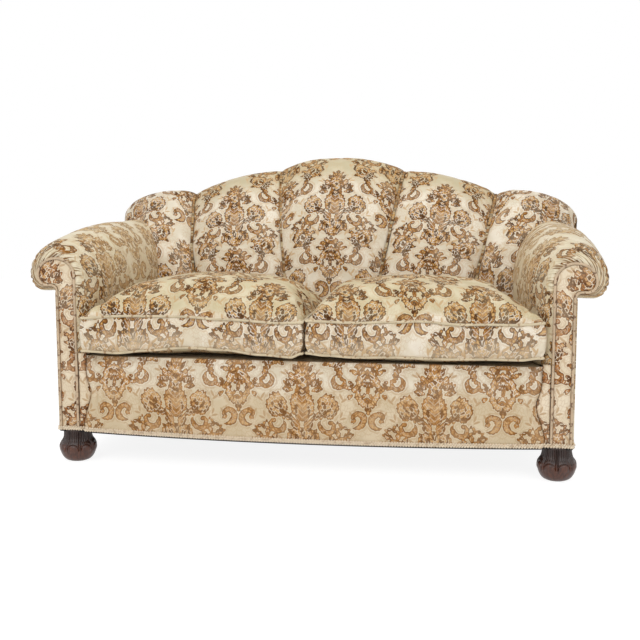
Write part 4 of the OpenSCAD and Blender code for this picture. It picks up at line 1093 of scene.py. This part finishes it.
def braid_tree():
    """Slanting bent strands, one after the other along a curve."""
    given = new_tree("GeometryNodeTree", "gimp_braid", {
        "Geometry": ["Geometry"], "Float": ["Pitch", "Height", "Strand Radius"], "Material": ["Material"]},
        {"Geometry": ["Geometry"]})
    pitch, radius, half = given["Pitch"], given["Strand Radius"], given["Height"] * 0.5
    start, end = (combined(pitch * (sign * 0.62), 0.0, half * (sign * 0.86)) for sign in (-1, 1))
    strand = node("GeometryNodeCurvePrimitiveLine", {"Start": start, "End": end})
    strand = node("GeometryNodeResampleCurve", {"Curve": strand, "Count": 7})
    lift = sine(node("GeometryNodeSplineParameter", out="Factor") * pi) * radius
    strand = node("GeometryNodeSetPosition", {"Geometry": strand, "Offset": combined(0.0, lift, 0.0)})
    ring = node("GeometryNodeCurvePrimitiveCircle", {"Resolution": 6, "Radius": radius})
    strand = node("GeometryNodeCurveToMesh", {"Curve": strand, "Profile Curve": ring, "Fill Caps": True})
    strand = node("GeometryNodeSetShadeSmooth", {"Geometry": strand})
    turn = node("FunctionNodeAlignRotationToVector", {"Vector": node("GeometryNodeInputTangent")},
                axis="X", pivot_axis="AUTO")
    even = node("GeometryNodeResampleCurve", {"Curve": given["Geometry"], "Length": pitch}, mode="LENGTH")
    many = node("GeometryNodeInstanceOnPoints", {"Points": even, "Instance": strand, "Rotation": turn})
    real = node("GeometryNodeRealizeInstances", {"Geometry": many})
    return tree_with(Geometry=node("GeometryNodeSetMaterial", {"Geometry": real, "Material": given["Material"]}))


def baked(name, path, tree, values):
    """What a Geometry Nodes tree makes along a path, as a plain mesh."""
    data = bpy.data.curves.new("path", "CURVE")
    data.dimensions = "3D"
    spline = data.splines.new("POLY")
    spline.points.add(len(path) - 1)
    spline.points.foreach_set("co", np.insert(path * MM, 3, 1.0, axis=1).ravel())
    obj = linked("path", data)
    mod = obj.modifiers.new("nodes", "NODES")
    mod.node_group = tree
    for item in tree.interface.items_tree:
        if item.item_type == "SOCKET" and item.in_out == "INPUT" and item.name in values:
            mod[item.identifier] = values[item.name]
    bpy.context.view_layer.update()
    graph = bpy.context.evaluated_depsgraph_get()
    me = bpy.data.meshes.new_from_object(obj.evaluated_get(graph), depsgraph=graph)
    me.name = name
    bpy.data.objects.remove(obj)
    return linked(name, me)


# ---------------------------------------------------------------------------
# Damask. Its repeat is in millimetres. A bouquet stands at the repeat's origin; a wreath stands half a
# repeat beside it; the whole comes back half a width over and half a height up. Petals are
# (x, y, half width, half length, turn clockwise from upright).
# ---------------------------------------------------------------------------
WREATH_Z = 52.0
BOUQUET = [
    (0, 130, 5.5, 11, 0), (0, 116, 12, 13, 0), (12, 124, 5, 10, 38), (0, 98, 17, 18, 0), (20, 106, 7, 13, 42),
    (0, 74, 22, 22, 0), (30, 86, 9, 16, 54), (0, 52, 22, 18, 0), (40, 66, 9.5, 16, 62), (46, 46, 8, 13, 84),
    (52, 62, 5, 11, 30), (44, -38, 9, 17, 60), (58, -34, 5.5, 12, 8), (20, -64, 18, 13, -62),
    (0, -98, 20, 26, 0), (26, -94, 14, 24, -22), (42, -98, 7.5, 17, -6), (18, -116, 11, 15, 10),
    (6, -124, 8.5, 13, 3), (0, -134, 4.5, 9, 0)]
LEAF = [
    (112, 108, 9, 22, -18), (60, 196, 8, 16, -52), (92, 199, 6.5, 14, 20), (110, 184, 7, 14, 45),
    (125, 163, 7, 14, 68), (128, 140, 6, 12, 92), (66, 158, 7, 13, 78), (76, 130, 7, 14, 52),
    (146, 58, 6, 14, 82), (160, 50, 6, 11, 120), (98, 150, 4, 12, -36), (42, 245, 7, 7, 0)]
WREATH = [
    (0, 78, 8, 13, 0), (14, 74, 8, 13, 24), (28, 65, 8, 13, 46), (40, 52, 6, 12, 68),
    (0, 22, 6.5, 14, 0), (12, 15, 5, 12, 44), (0, -4, 4, 7, 0), (11, -20, 4.5, 5, 0), (0, -30, 4.5, 5, 0),
    (0, -66, 9, 12, 0), (48, 16, 6, 12, 64), (56, 6, 5, 11, 95), (52, -22, 5, 9, -50),
    (70, -122, 4, 15, 66), (92, -128, 3.5, 11, 95), (84, -112, 3, 10, 50)]
SPRIGS = [(60, -118, 3.2, 12, 30), (70, -108, 3.2, 12, 48), (50, -124, 3.2, 12, 12), (150, -112, 3.0, 11, -40),
          (158, -118, 3.0, 10, 10), (48, 100, 3.0, 10, 40), (58, 96, 3.0, 9, 70), (160, -20, 3.0, 10, 20),
          (150, -26, 3.0, 10, -30), (122, 26, 3.0, 10, -30), (131, 16, 3.0, 10, 50), (34, 178, 3.0, 10, -20),
          (120, -30, 3.0, 9, 15), (126, -42, 3.0, 9, 70), (24, 156, 3.0, 8, 30), (96, 66, 3.0, 9, -15)]
# Scrolls: x, y, radius, growth for each radian, half width, taper, turn, hand, half of the arc
HOOKS = [(80, -64, 21, -1.8, 7.6, -0.13, -62, 1, 2.6), (117, 74, 17, -2.4, 7.2, -0.16, -75, 1, 2.7)]
LYRE = [(34, 248, 19, -3.2, 8.6, -0.16, 120, -1, 2.9)]
SCROLL_ENDS = [(88, -54, 7.5, 7.5, 0), (122, 81, 7, 7, 0), (58, -68, 6, 6, 0)]
ROSE, LEAF_RING, LEAF_RING_TURN = (80.0, -3.0), (94.0, 152.0), -34.0
FUSE = 4.0
CELL_W, CELL_H, CELL_TURN = 8.4, 14.5, 32.0
PILE = ("Edge", "Velvet", "Nap", "Outline")


def placed(place, across, up, x, y):
    """Two distances of a place from x, y, each measured along a direction that also sets its scale.
    The place's third number is 1, so that one dot product turns, moves and scales."""
    return [node("ShaderNodeVectorMath", {0: place, 1: (a, b, -a * x - b * y)}, 1, operation="DOT_PRODUCT")
            for a, b in (across, up)]


def turned(degrees):
    return cos(radians(degrees)), sin(radians(degrees))


def length(u, v):
    return math_node("SQRT", madd(u, u, v * v))


def fused(depth, other, fuse=FUSE):
    """The union of two depths below an edge, their joint rounded by fuse."""
    if depth is None:
        return other
    return math_node("SMOOTH_MIN", depth, other, fuse) if fuse else least(depth, other)


def petals(place, shapes, depth=None, fuse=FUSE):
    """Depth below the edge of fused petals, in millimetres; inside it is negative."""
    for x, y, wide, long, turn in shapes:
        half = min(wide, long) / 2
        c, s = (part * sqrt(half) for part in turned(turn))
        u, v = placed(place, (c / wide, -s / wide), (s / long, c / long), x, y)
        depth = fused(depth, madd(v, v, madd(u, u, -half)), fuse)
    return depth


def scrolls(place, shapes, depth=None):
    for x, y, radius, grow, half, taper, turn, hand, arc in shapes:
        c, s = turned(turn)
        u, v = placed(place, (c, s), (-s * hand, c * hand), x, y)
        angle = math_node("ARCTAN2", v, u)
        off = abs(madd(angle, -grow, length(u, v) - radius))
        one = madd(angle, -half * taper, off - half)
        depth = fused(depth, madd(math_node("POWER", abs(angle), 4.0), 1.3 * half / arc ** 4, one), 0)
    return depth


def oval(place, centre, tall, turn=0.0):
    """Distance from a centre, measured so that an oval taller than it is wide is round."""
    c, s = turned(turn)
    return length(*placed(place, (c, -s), (s / tall, c / tall), *centre))


def damask_group():
    given = new_tree("ShaderNodeTree", "cut_velvet_damask", {
        "Vector": ["Place"], "Color": ["Ground", "Sheen", *PILE], "Float": ["Fading", "Spread"]},
        {"Color": ["Colour"], "Float": ["Pile", "Height"]})
    place, edge, velvet, nap_dye, outline, sheen = (given[key] for key in ("Place", *PILE, "Sheen"))
    x, y, _ = split(place)
    x = x + sine(y / 13.0) * 1.6
    y = y + sine(x / 11.0) * 1.4
    x = abs(math_node("WRAP", x, REPEAT_W / 2, -REPEAT_W / 2))
    y = math_node("WRAP", y, REPEAT_H * 0.75, -REPEAT_H / 4)
    upper = math_node("GREATER_THAN", y, REPEAT_H / 4)
    x = x + upper * madd(x, -2.0, REPEAT_W / 2)
    y = madd(upper, -REPEAT_H / 2, y)
    other_x = REPEAT_W / 2 - x
    here, there = combined(x, y, 1.0), combined(other_x, y + REPEAT_H / 2, 1.0)
    at_wreath = combined(other_x, y - WREATH_Z, 1.0)

    # Little leaves: the slanting cells of a mirrored mosaic scallop every edge and part every mass
    c, s = turned(CELL_TURN)
    tile = combined(*placed(here, (c / CELL_W, -s / CELL_W), (s / CELL_H, c / CELL_H), 0, 0), 0.0)
    cells, borders = (outs("ShaderNodeTexVoronoi", {"Vector": tile, "Scale": 1.0, "Randomness": 0.85},
                           voronoi_dimensions="2D", feature=feature) for feature in ("F1", "DISTANCE_TO_EDGE"))
    seams, bulge = borders["Distance"], madd(cells["Distance"], 9.0, -5.6)
    which = node("ShaderNodeSeparateColor", {0: cells["Color"]})

    # The motifs: petals, two round flowers, rings of leaves and scrolls
    depth = petals(at_wreath, WREATH, petals(there, LEAF, petals(here, BOUQUET + LEAF)))
    for centre, tall, radius in (((0, -2), 1.35, 36.0), (ROSE, 1.2, 31.0)):
        depth = fused(depth, oval(here, centre, tall) - radius)
    for view, centre, tall, turn, outer, hole in ((at_wreath, (0, 0), 1.45, 0, 39.0, 24.0),
                                                  (here, LEAF_RING, 1.4, LEAF_RING_TURN, 29.0, 12.0),
                                                  (there, LEAF_RING, 1.4, LEAF_RING_TURN, 29.0, 12.0)):
        ring = oval(view, centre, tall, turn)
        depth = fused(depth, most(ring - outer, hole - ring))
    depth = depth + bulge
    curls = scrolls(there, LYRE, scrolls(here, HOOKS + LYRE))
    curls = petals(here, SCROLL_ENDS, madd(bulge, 0.45, curls), 3.0)
    leafy = step(curls - depth, -1.5, 0.5, 0.45, 1.0)
    whole = least(depth, curls) + madd(noise(place, 0.16, 2.0, 0.6), 3.0, -1.5) - given["Spread"]

    # Slanting ribs in the vase below the bouquet
    slant = math_node("FRACT", madd(x, -0.95, y) / 17.0)
    core = most(x - step(y, -48.0, -34.0, 26.0, 17.0), abs(y + 22.0) - 52.0)
    chevron = most(madd(abs(slant - 0.5), 17.0, -1.7), core)
    leafy = leafy * step(core, -4.0, 0.0, 0.3, 1.0)

    # Shares from 0 to 1 of what lies at a place
    pile = step(whole, -0.7, 0.7, 1.0, 0.0)
    inner = step(whole, -3.8, -1.4, 1.0, 0.0)
    # Middles of the pile's cells; some take the nap dye there as a painted highlight on the raised pile
    nap_highlight = step(whole, -7.0, -3.4, 1.0, 0.0) * step(seams, 0.12, 0.28)
    vein = step(seams, 0.05, 0.17, 1.0, 0.0) * leafy
    wide, uneven = noise(place, 0.012, 2.0), noise(place, 0.035)
    lit = step(noise(place, 0.045), 0.42, 0.52)
    stipple = noise(stretched(place, 1.0, 0.7, 1.0), 0.21, 2.0, 0.6)
    fibre = noise(stretched(place, 1.0, 0.35, 1.0), 0.9, 1.0, 0.6)
    sprig = step(petals(here, SPRIGS, fuse=0), -0.4, 1.4, 1.0, 0.0) * 0.85
    line = step(abs(whole - 6.0), 0.6, 4.2, 1.0, 0.0) * step(uneven, 0.35, 0.6, 0.30, 0.60)
    ghost = step(seams, 0.04, 0.13, 1.0, 0.0) * step(noise(place, 0.021), 0.42, 0.52, 0.04, 0.36)
    line = most(most(line, sprig), ghost * step(whole, 5.0, 10.0))

    # Broad patches of the satin ground take the sheen colour: a painted sheen
    colour = blend(step(wide, 0.42, 0.62, 0.0, 0.6), given["Ground"], sheen)
    for share, dye in ((line, outline),
                       (step(fibre, 0.3, 0.75) * 0.10, outline),
                       # The pile's rim takes the dark edge dye: partly the cloth's own dark outline, partly painted
                       # shade along the edges of the raised pile
                       (pile, blend(step(uneven, 0.36, 0.52, 0.15, 0.85), velvet, edge)),
                       (inner, velvet),
                       (inner * (step(which, 0.30, 0.42, 0.92, 0.0) * leafy), edge),
                       (nap_highlight * step(which, 0.44, 0.68, 0.05, 0.9), nap_dye),
                       (inner * vein * madd(lit, -0.7, 0.7), edge),
                       (vein * lit * step(whole, -4.0, -1.8, 0.92, 0.0), sheen),
                       (pile * step(stipple, 0.38, 0.45, 0.4, 0.0), edge),
                       (inner * step(stipple, 0.56, 0.64, 0.0, 0.4), nap_dye),
                       (inner * step(chevron, -0.6, 0.8, 0.42, 0.0), sheen)):
        colour = blend(share, colour, dye)
    faded = math_node("MULTIPLY", pile, madd(step(wide, 0.38, 0.68, 0.0, 0.5), 0.5, given["Fading"]), clamp=True)
    return tree_with(Colour=blend(faded, colour, blend(0.4, given["Ground"], outline)), Pile=pile,
                     Height=madd(step(whole, -3.0, 0.5, 1.0, 0.0), step(seams, 0.0, 0.14, 0.45, 0.9), fibre * 0.25))


damask = damask_group()
GOLD = ((62, 30, 4), (158, 106, 48), (212, 172, 110), (196, 162, 118))


def damask_material(name, ground, sheen, pile=GOLD, fading=0.0, spread=0.0, crest=None, worn=None, streak=None,
                    gathers=False, bump=0.35):
    """Pile gives its four dyes. Crest gives the cloth heights in metres between which the ground and its
    sheen turn to two other colours: painted shade over the tops of the back and the cushions, and a
    painted satin highlight along the upper part of the border. Worn gives two heights between which the
    pile fades downwards, and how far. Streak is the colour of streaks that run up the cloth. Spread is how
    far the pile grows over the ground. Gathers are the folds beside the facing, where the cloth's u is
    small, with painted shade in them and painted highlights on their ridges."""
    begin(name, 0.8, 0.25, 0.06, 0.4)
    put(linear(248, 238, 216), Bench.shader.inputs["Sheen Tint"])
    cloth = cloth_places()
    across, up, _ = split(cloth)
    given = {key: linear(*dye) for key, dye in zip(("Ground", "Sheen", *PILE), (ground, sheen, *pile))}
    given.update(Place=stretched(cloth, 1000.0, 1000.0, 1000.0), Fading=fading, Spread=spread)
    # The crest band paints light over the top of the cloth: shade on the back and the cushions, a highlight on the
    # border
    if crest:
        share = step(up + madd(noise(cloth, 9.0), 0.08, -0.04), *crest[:2])
        for key, dye in zip(("Ground", "Sheen"), crest[2:]):
            given[key] = blend(share, given[key], linear(*dye))
    if worn:
        given["Fading"] = step(up, *worn, fading)
    if streak:
        up_streaks = noise(stretched(cloth, 90.0, 12.0, 1.0), 1.0, 2.0, 0.6)
        given["Ground"] = blend(step(up_streaks, 0.42, 0.72, 0.0, 0.55), given["Ground"], linear(*streak))
    if gathers:
        away = madd(noise(cloth, 12.0), 0.06, abs(across))
        for key, dye in zip(PILE[:3], GOLD):
            given[key] = blend(step(away, 0.17, 0.25), linear(*dye), given[key])
        given["Fading"] = step(away, 0.17, 0.25, 0.0, fading)
    group = outs("ShaderNodeGroup", given, node_tree=damask)
    colour = group["Colour"]
    if gathers:
        # Painted shade in the folds of the gathers behind the facing, and painted highlights on their ridges
        painted_fold_noise = noise(stretched(cloth, 14.0, 120.0, 1.0), 1.0)
        near = step(madd(painted_fold_noise, 0.03, abs(across) - ARM_CLOTH_AT * MM), 0.030, 0.052, 1.0, 0.0) * step(up, 0.20, 0.24)
        colour = blend(near * step(painted_fold_noise, 0.40, 0.50, 0.85, 0.0), colour, linear(*pile[0]))
        colour = blend(near * step(painted_fold_noise, 0.52, 0.60, 0.0, 0.7), colour, linear(*sheen))
    return finished(colour, madd(group["Pile"], 0.48, 0.40), (bump, 0.0012, group["Height"]))


# Over the channels' tops the crest band turns the ground greyer and greener: painted shade
back_cloth = damask_material("damask_back", (216, 206, 184), (238, 230, 214),
                             crest=(0.06, 0.17, (190, 178, 144), (208, 196, 164)))
outside_cloth = damask_material("damask_outside", (214, 200, 172), (232, 222, 202))
arm_cloth = damask_material("damask_arms", (216, 205, 176), (230, 220, 196),
                            ((118, 80, 36), (182, 140, 86), (208, 180, 132), (198, 172, 134)),
                            fading=0.12, spread=0.4, streak=(200, 174, 124), gathers=True)
# Over the cushions' tops the crest band darkens the ground: painted shade
cushion_cloth = damask_material("damask_cushions", (220, 208, 184), (244, 236, 222), worn=(-0.135, -0.06, 0.5),
                                crest=(-0.045, 0.0, (202, 190, 154), (224, 214, 186)))
# Along the border's upper part the crest band lightens the ground and its sheen: a painted satin highlight
border_cloth = damask_material("damask_border", (206, 188, 156), (224, 208, 180),
                               ((112, 70, 30), (176, 124, 66), (212, 174, 122), (182, 148, 108)),
                               fading=0.02, crest=(0.0, 0.09, (214, 202, 178), (240, 232, 216)), bump=0.5)
facing_cloth = damask_material("damask_facings", (222, 206, 178), (238, 224, 200),
                               ((76, 40, 14), (164, 106, 54), (210, 170, 118), (188, 156, 118)), spread=0.5)


# ---------------------------------------------------------------------------
# Plain cloths, piping, wood, steel, cane and braid
# ---------------------------------------------------------------------------
def welt_material(name, cream, brown):
    """Piping cut from the same cloth: cream with stray brown touches, its weave running across."""
    begin(name, 0.72, 0.35, 0.15, 0.4)
    about, along, _ = split(cloth_places())
    flat = combined(along, about * 0.6, 0.0)
    colour = blend(step(noise(flat, 22.0), 0.3, 0.7), linear(*cream), (*(0.82 * c for c in linear(*cream)[:3]), 1.0))
    colour = blend(step(noise(flat, 75.0, 1.5), 0.56, 0.64) * 0.75, colour, linear(*brown))
    return finished(colour, bump=(0.25, 0.0004, sine(madd(along, 5200.0, about * 2600.0))))


welt_cloth = welt_material("welt_cloth", (214, 198, 166), (150, 108, 66))
facing_welt = welt_material("facing_welt", (206, 182, 152), (96, 60, 38))


def weave_group():
    """Plain weave: warp and weft threads that pass over and under each other."""
    given = new_tree("ShaderNodeTree", "plain_weave", {
        "Vector": ["Place"], "Float": ["Pitch", "Unevenness"], "Color": ["Warp", "Weft", "Gap"]},
        {"Color": ["Colour"], "Float": ["Height"]})
    place, gap = given["Place"], given["Gap"]
    warp, weft = (sine(way * pi / given["Pitch"]) for way in split(place)[:2])
    over = math_node("GREATER_THAN", warp * weft, 0.0)
    height = madd(over, abs(warp) - abs(weft), abs(weft))
    slub, fleck = noise(place, 55.0, 2.0, 0.6), noise(place, 700.0)
    shade = most(step(slub, 0.35, 0.7) * given["Unevenness"], step(fleck, 0.62, 0.8, 0.0, 0.4))
    colour = blend(shade, blend(over, given["Warp"], given["Weft"]), gap)
    return tree_with(Colour=blend(step(height, 0.05, 0.45, 1.0, 0.0), colour, gap), Height=madd(slub, 0.5, height))


def grain_group():
    """Wood grain that runs along the first direction of Place, with growth rings, rays and pores."""
    given = new_tree("ShaderNodeTree", "wood_grain", {"Vector": ["Place"], "Color": ["Light", "Dark", "Pore"]},
                     {"Color": ["Colour"], "Float": ["Streak", "Height"]})
    place, light, dark, pore = given["Place"], given["Light"], given["Dark"], given["Pore"]
    broad = noise(stretched(place, 2.5, 22.0, 22.0), 1.0, 3.0, 0.55)
    fine = noise(stretched(place, 28.0, 520.0, 520.0), 1.0, 2.0, 0.6)
    ray = noise(stretched(place, 140.0, 900.0, 420.0), 1.0)
    colour = blend(madd(sine(broad * 60.0), 0.28, broad), light, dark)
    colour = blend(step(fine, 0.5, 0.78, 0.0, 0.5), colour, dark)
    return tree_with(Colour=blend(step(ray, 0.62, 0.74, 0.0, 0.6), colour, pore), Streak=fine,
                     Height=madd(fine, 0.6, ray * -0.4))


weave, grain = weave_group(), grain_group()


def cloth_material(name, pitch, warp, weft, gap, uneven=0.3, bump=0.5, stripes=()):
    """Plain cloth on the piece's own cloth places; stripes are (from, to, colour) across it in millimetres."""
    begin(name, 0.9, 0.25, 0.1)
    cloth = cloth_places()
    group = outs("ShaderNodeGroup", {"Place": cloth, "Pitch": pitch, "Unevenness": uneven,
                                     **dyed(Warp=warp, Weft=weft, Gap=gap)}, node_tree=weave)
    colour = group["Colour"]
    for low, high, dye in stripes:
        half = (high - low) / 2 * MM
        off = abs(split(cloth)[0] - (low + high) / 2 * MM)
        colour = blend(step(off, half - 0.0004, half + 0.0004, 0.8, 0.0), colour, linear(*dye))
    return finished(colour, madd(group["Height"], -0.08, 0.9), (bump, pitch * 0.35, group["Height"]))


BROWN_STRIPE, PALE_STRIPE = (70, 52, 40), (226, 214, 186)
hessian = cloth_material("hessian_canvas", 0.0021, (184, 158, 116), (172, 146, 104), (104, 82, 52))
jute = cloth_material("jute_webbing", 0.0017, (196, 168, 122), (180, 150, 104), (110, 84, 50), stripes=[
    (5, 8, BROWN_STRIPE), (11, 13, PALE_STRIPE), (37, 39, PALE_STRIPE), (42, 45, BROWN_STRIPE)])
calico = cloth_material("unbleached_calico", 0.0007, (226, 216, 192), (220, 208, 182), (176, 160, 128), 0.2, 0.3)
black_cotton = cloth_material("black_cotton", 0.0008, (30, 28, 28), (24, 22, 23), (12, 11, 12), 0.25, 0.35)
deck_cloth = cloth_material("deck_twill", 0.0011, (206, 190, 158), (196, 178, 146), (150, 130, 98), 0.25, 0.4)


def grained(axis, light, dark, pore):
    """Wood whose grain runs along an axis of the sofa."""
    xyz = split(sofa_places())
    place = combined(xyz.pop("xyz".index(axis)), *xyz)
    return outs("ShaderNodeGroup", {"Place": place, **dyed(Light=light, Dark=dark, Pore=pore)}, node_tree=grain)


def planed_beech(axis):
    begin(f"beech_along_{axis}", 0.62, 0.4)
    wood = grained(axis, (214, 176, 130), (182, 140, 96), (138, 98, 62))
    return finished(wood["Colour"], madd(wood["Streak"], 0.2, 0.52), (0.3, 0.0005, wood["Height"]))


def carved_wood():
    """Dark polished wood: nearly black in the neck, redder on the ball, with some darker patches."""
    begin("dark_carved_wood", 0.36)
    wood = grained("z", (98, 58, 42), (56, 32, 25), (26, 16, 13))
    dull = noise(sofa_places(), 60.0, 3.0, 0.6)
    neck = step(madd(dull, 0.014, split(sofa_places())[2]), 0.052, 0.074, 0.0, 0.78)
    colour = blend(neck, wood["Colour"], linear(30, 20, 17))
    colour = blend(step(dull, 0.56, 0.72, 0.0, 0.35), colour, linear(34, 22, 18))
    return finished(colour, madd(dull, 0.3, 0.22), (0.25, 0.0004, wood["Height"]))


def steel():
    """Spring wire and bolts, dull with age, with a few brown flecks."""
    begin("aged_steel", 0.4)
    dull = noise(sofa_places(), 38.0, 3.0, 0.6)
    rust = step(noise(sofa_places(), 140.0, 3.0, 0.65), 0.56, 0.7)
    colour = blend(rust * 0.7, blend(dull, linear(150, 148, 144), linear(104, 102, 98)), linear(112, 74, 50))
    return finished(colour, madd(rust, 0.35, madd(dull, 0.25, 0.25)), metallic=madd(rust, -0.8, 1.0))


def cane():
    """Pale straw with long fibres and darker nodes."""
    begin("split_cane", 0.5, 0.4)
    fibre = noise(stretched(sofa_places(), 14.0, 700.0, 700.0), 1.0, 2.0, 0.6)
    knot = step(noise(stretched(sofa_places(), 9.0, 2.0, 2.0), 1.0), 0.6, 0.68)
    colour = blend(knot * 0.6, blend(fibre, linear(212, 184, 128), linear(172, 138, 84)), linear(128, 96, 56))
    return finished(colour, madd(fibre, 0.3, 0.32), (0.3, 0.0004, fibre))


def braid_cord():
    """Twisted cream cord: fine slanting threads, shaded between them, with stray darker ones."""
    begin("braid_cord", 0.7, 0.35, 0.15, 0.4)
    x, y, z = split(sofa_places())
    twist = sine(madd(x + y, 4200.0, z * -3400.0))
    stray = step(noise(sofa_places(), 90.0, 2.0), 0.5, 0.66)
    colour = blend(step(twist, -0.9, 0.4, 0.55, 0.0), linear(244, 230, 206), linear(188, 160, 126))
    return finished(blend(stray * 0.45, colour, linear(176, 140, 100)), madd(twist, -0.06, 0.72), (0.4, 0.0003, twist))


# ---------------------------------------------------------------------------
# What each piece rides on and is made of
# ---------------------------------------------------------------------------
def dress(piece, body, material):
    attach(piece, body)
    piece.data.materials.append(material)


gimp = baked("bottom_braid", gimp_path(), braid_tree(), {
    "Pitch": 0.0084, "Height": 0.0128, "Strand Radius": 0.0034, "Material": braid_cord()})
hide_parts("bottom_gimp")

arm_cloths = [arm_cloth, facing_cloth, facing_welt, arm_cloth, facing_cloth]
cloths = [back_cloth] * 5 + arm_cloths * 2 + [outside_cloth, border_cloth, back_cloth]
for piece, cloth in zip(back_pieces + arm_pieces + [outside_back, front_border, seam_welts], cloths):
    dress(piece, "carcass", cloth)
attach(gimp, "carcass")
for side, (cover, piping) in cushion_pieces.items():
    dress(cover, f"{side}_cushion", cushion_cloth)
    dress(piping, f"{side}_cushion", welt_cloth)
dark_wood = carved_wood()
for piece in feet:
    dress(piece, "carcass", dark_wood)
outside_arms = [piece for piece in arm_pieces if "outside" in piece.name]
for piece in back_pieces + [p for p in arm_pieces if p not in outside_arms and not p.name.endswith("welt")]:
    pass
for piece in [outside_back] + outside_arms:
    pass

shown = {"canvas": hessian, "webbing": jute, "black_cloth": black_cotton}
for piece, name, kind in hidden.values():
    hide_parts(name)
    dress(piece, "carcass", deck_cloth if name == "seat_platform" else shown[kind])
dress(black_hem_and_shade_line, "carcass", black_cotton)
for side, piece in pads:
    dress(piece, f"{side}_cushion", calico)
rows_length + columns_length

# The CAD's own pieces: each beech rail gets its grain along its longest side
shown.update(steel=steel(), cane=cane(), dark_wood=dark_wood)
beech = [planed_beech(axis) for axis in "xyz"]
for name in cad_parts:
    low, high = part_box(name)
    shown["beech"] = beech[int(np.argmax(np.array(high) - np.array(low)))]
    for place in bpy.data.objects[name].material_slots:
        kind = place.material.name.split(".")[0] if place.material else ""
        if kind in shown:
            place.material = shown[kind]


# ---------------------------------------------------------------------------
# Floor, light and camera
# ---------------------------------------------------------------------------
def seen_directly():
    """1 for rays from the camera and for those that a shiny or clear surface sends on."""
    ray = outs("ShaderNodeLightPath")
    return most(ray["Is Camera Ray"], most(ray["Is Glossy Ray"], ray["Is Transmission Ray"]))


# The floor is white to the camera and in reflections, and a plain pale surface that takes the shadow
begin("pale_floor", 0.9)
glow = node("ShaderNodeEmission", {"Color": (1, 1, 1, 1), "Strength": 1.25})
put(node("ShaderNodeMixShader", {0: seen_directly() * 0.7, 1: Wire(Bench.shader.outputs[0]), 2: glow}), Bench.surface)
FLOOR_HALF = 6000
floor = add_mesh("floor", [(FLOOR_HALF * x, FLOOR_HALF * y, 0) for x, y in ((-1, -1), (1, -1), (1, 1), (-1, 1))],
                 [(0, 1, 2, 3)])
floor.data.materials.append(finished((0.92, 0.92, 0.92, 1)))

scene = bpy.context.scene
scene.world = world = scene.world or bpy.data.worlds.new("studio")
world.use_nodes = True
Bench.tree = world.node_tree
Bench.tree.nodes.clear()
soft, white = (node("ShaderNodeBackground", {"Color": (1, 1, 1, 1), "Strength": strength}) for strength in (0.55, 1.0))
node("ShaderNodeOutputWorld", {"Surface": node("ShaderNodeMixShader", {0: seen_directly(), 1: soft, 2: white})}, None)

for name, place, size, power in (("key", (-1.5, -3.6, 2.8), (2.4, 2.0), 54), ("fill", (2.6, -3.0, 2.2), (2.4, 2.0), 34),
                                 ("top", (0, 0.2, 3.4), (3.0, 1.8), 30)):
    data = bpy.data.lights.new(name, "AREA")
    data.shape = "RECTANGLE"
    data.size, data.size_y = size
    data.energy = power
    light = linked(name, data)
    light.location = place
    light.rotation_euler = (Vector((0, 0, 0.5)) - Vector(place)).to_track_quat("-Z", "Y").to_euler()

camera_data = bpy.data.cameras.new("camera")
camera_data.sensor_width = 36
camera_data.lens = 59.28
scene.camera = camera = linked("camera", camera_data)
camera.location = (0.5624, -3.5613, 0.8778)
camera.rotation_euler = (radians(82.832), radians(0.086), radians(9.351))
scene.view_settings.view_transform = "Standard"
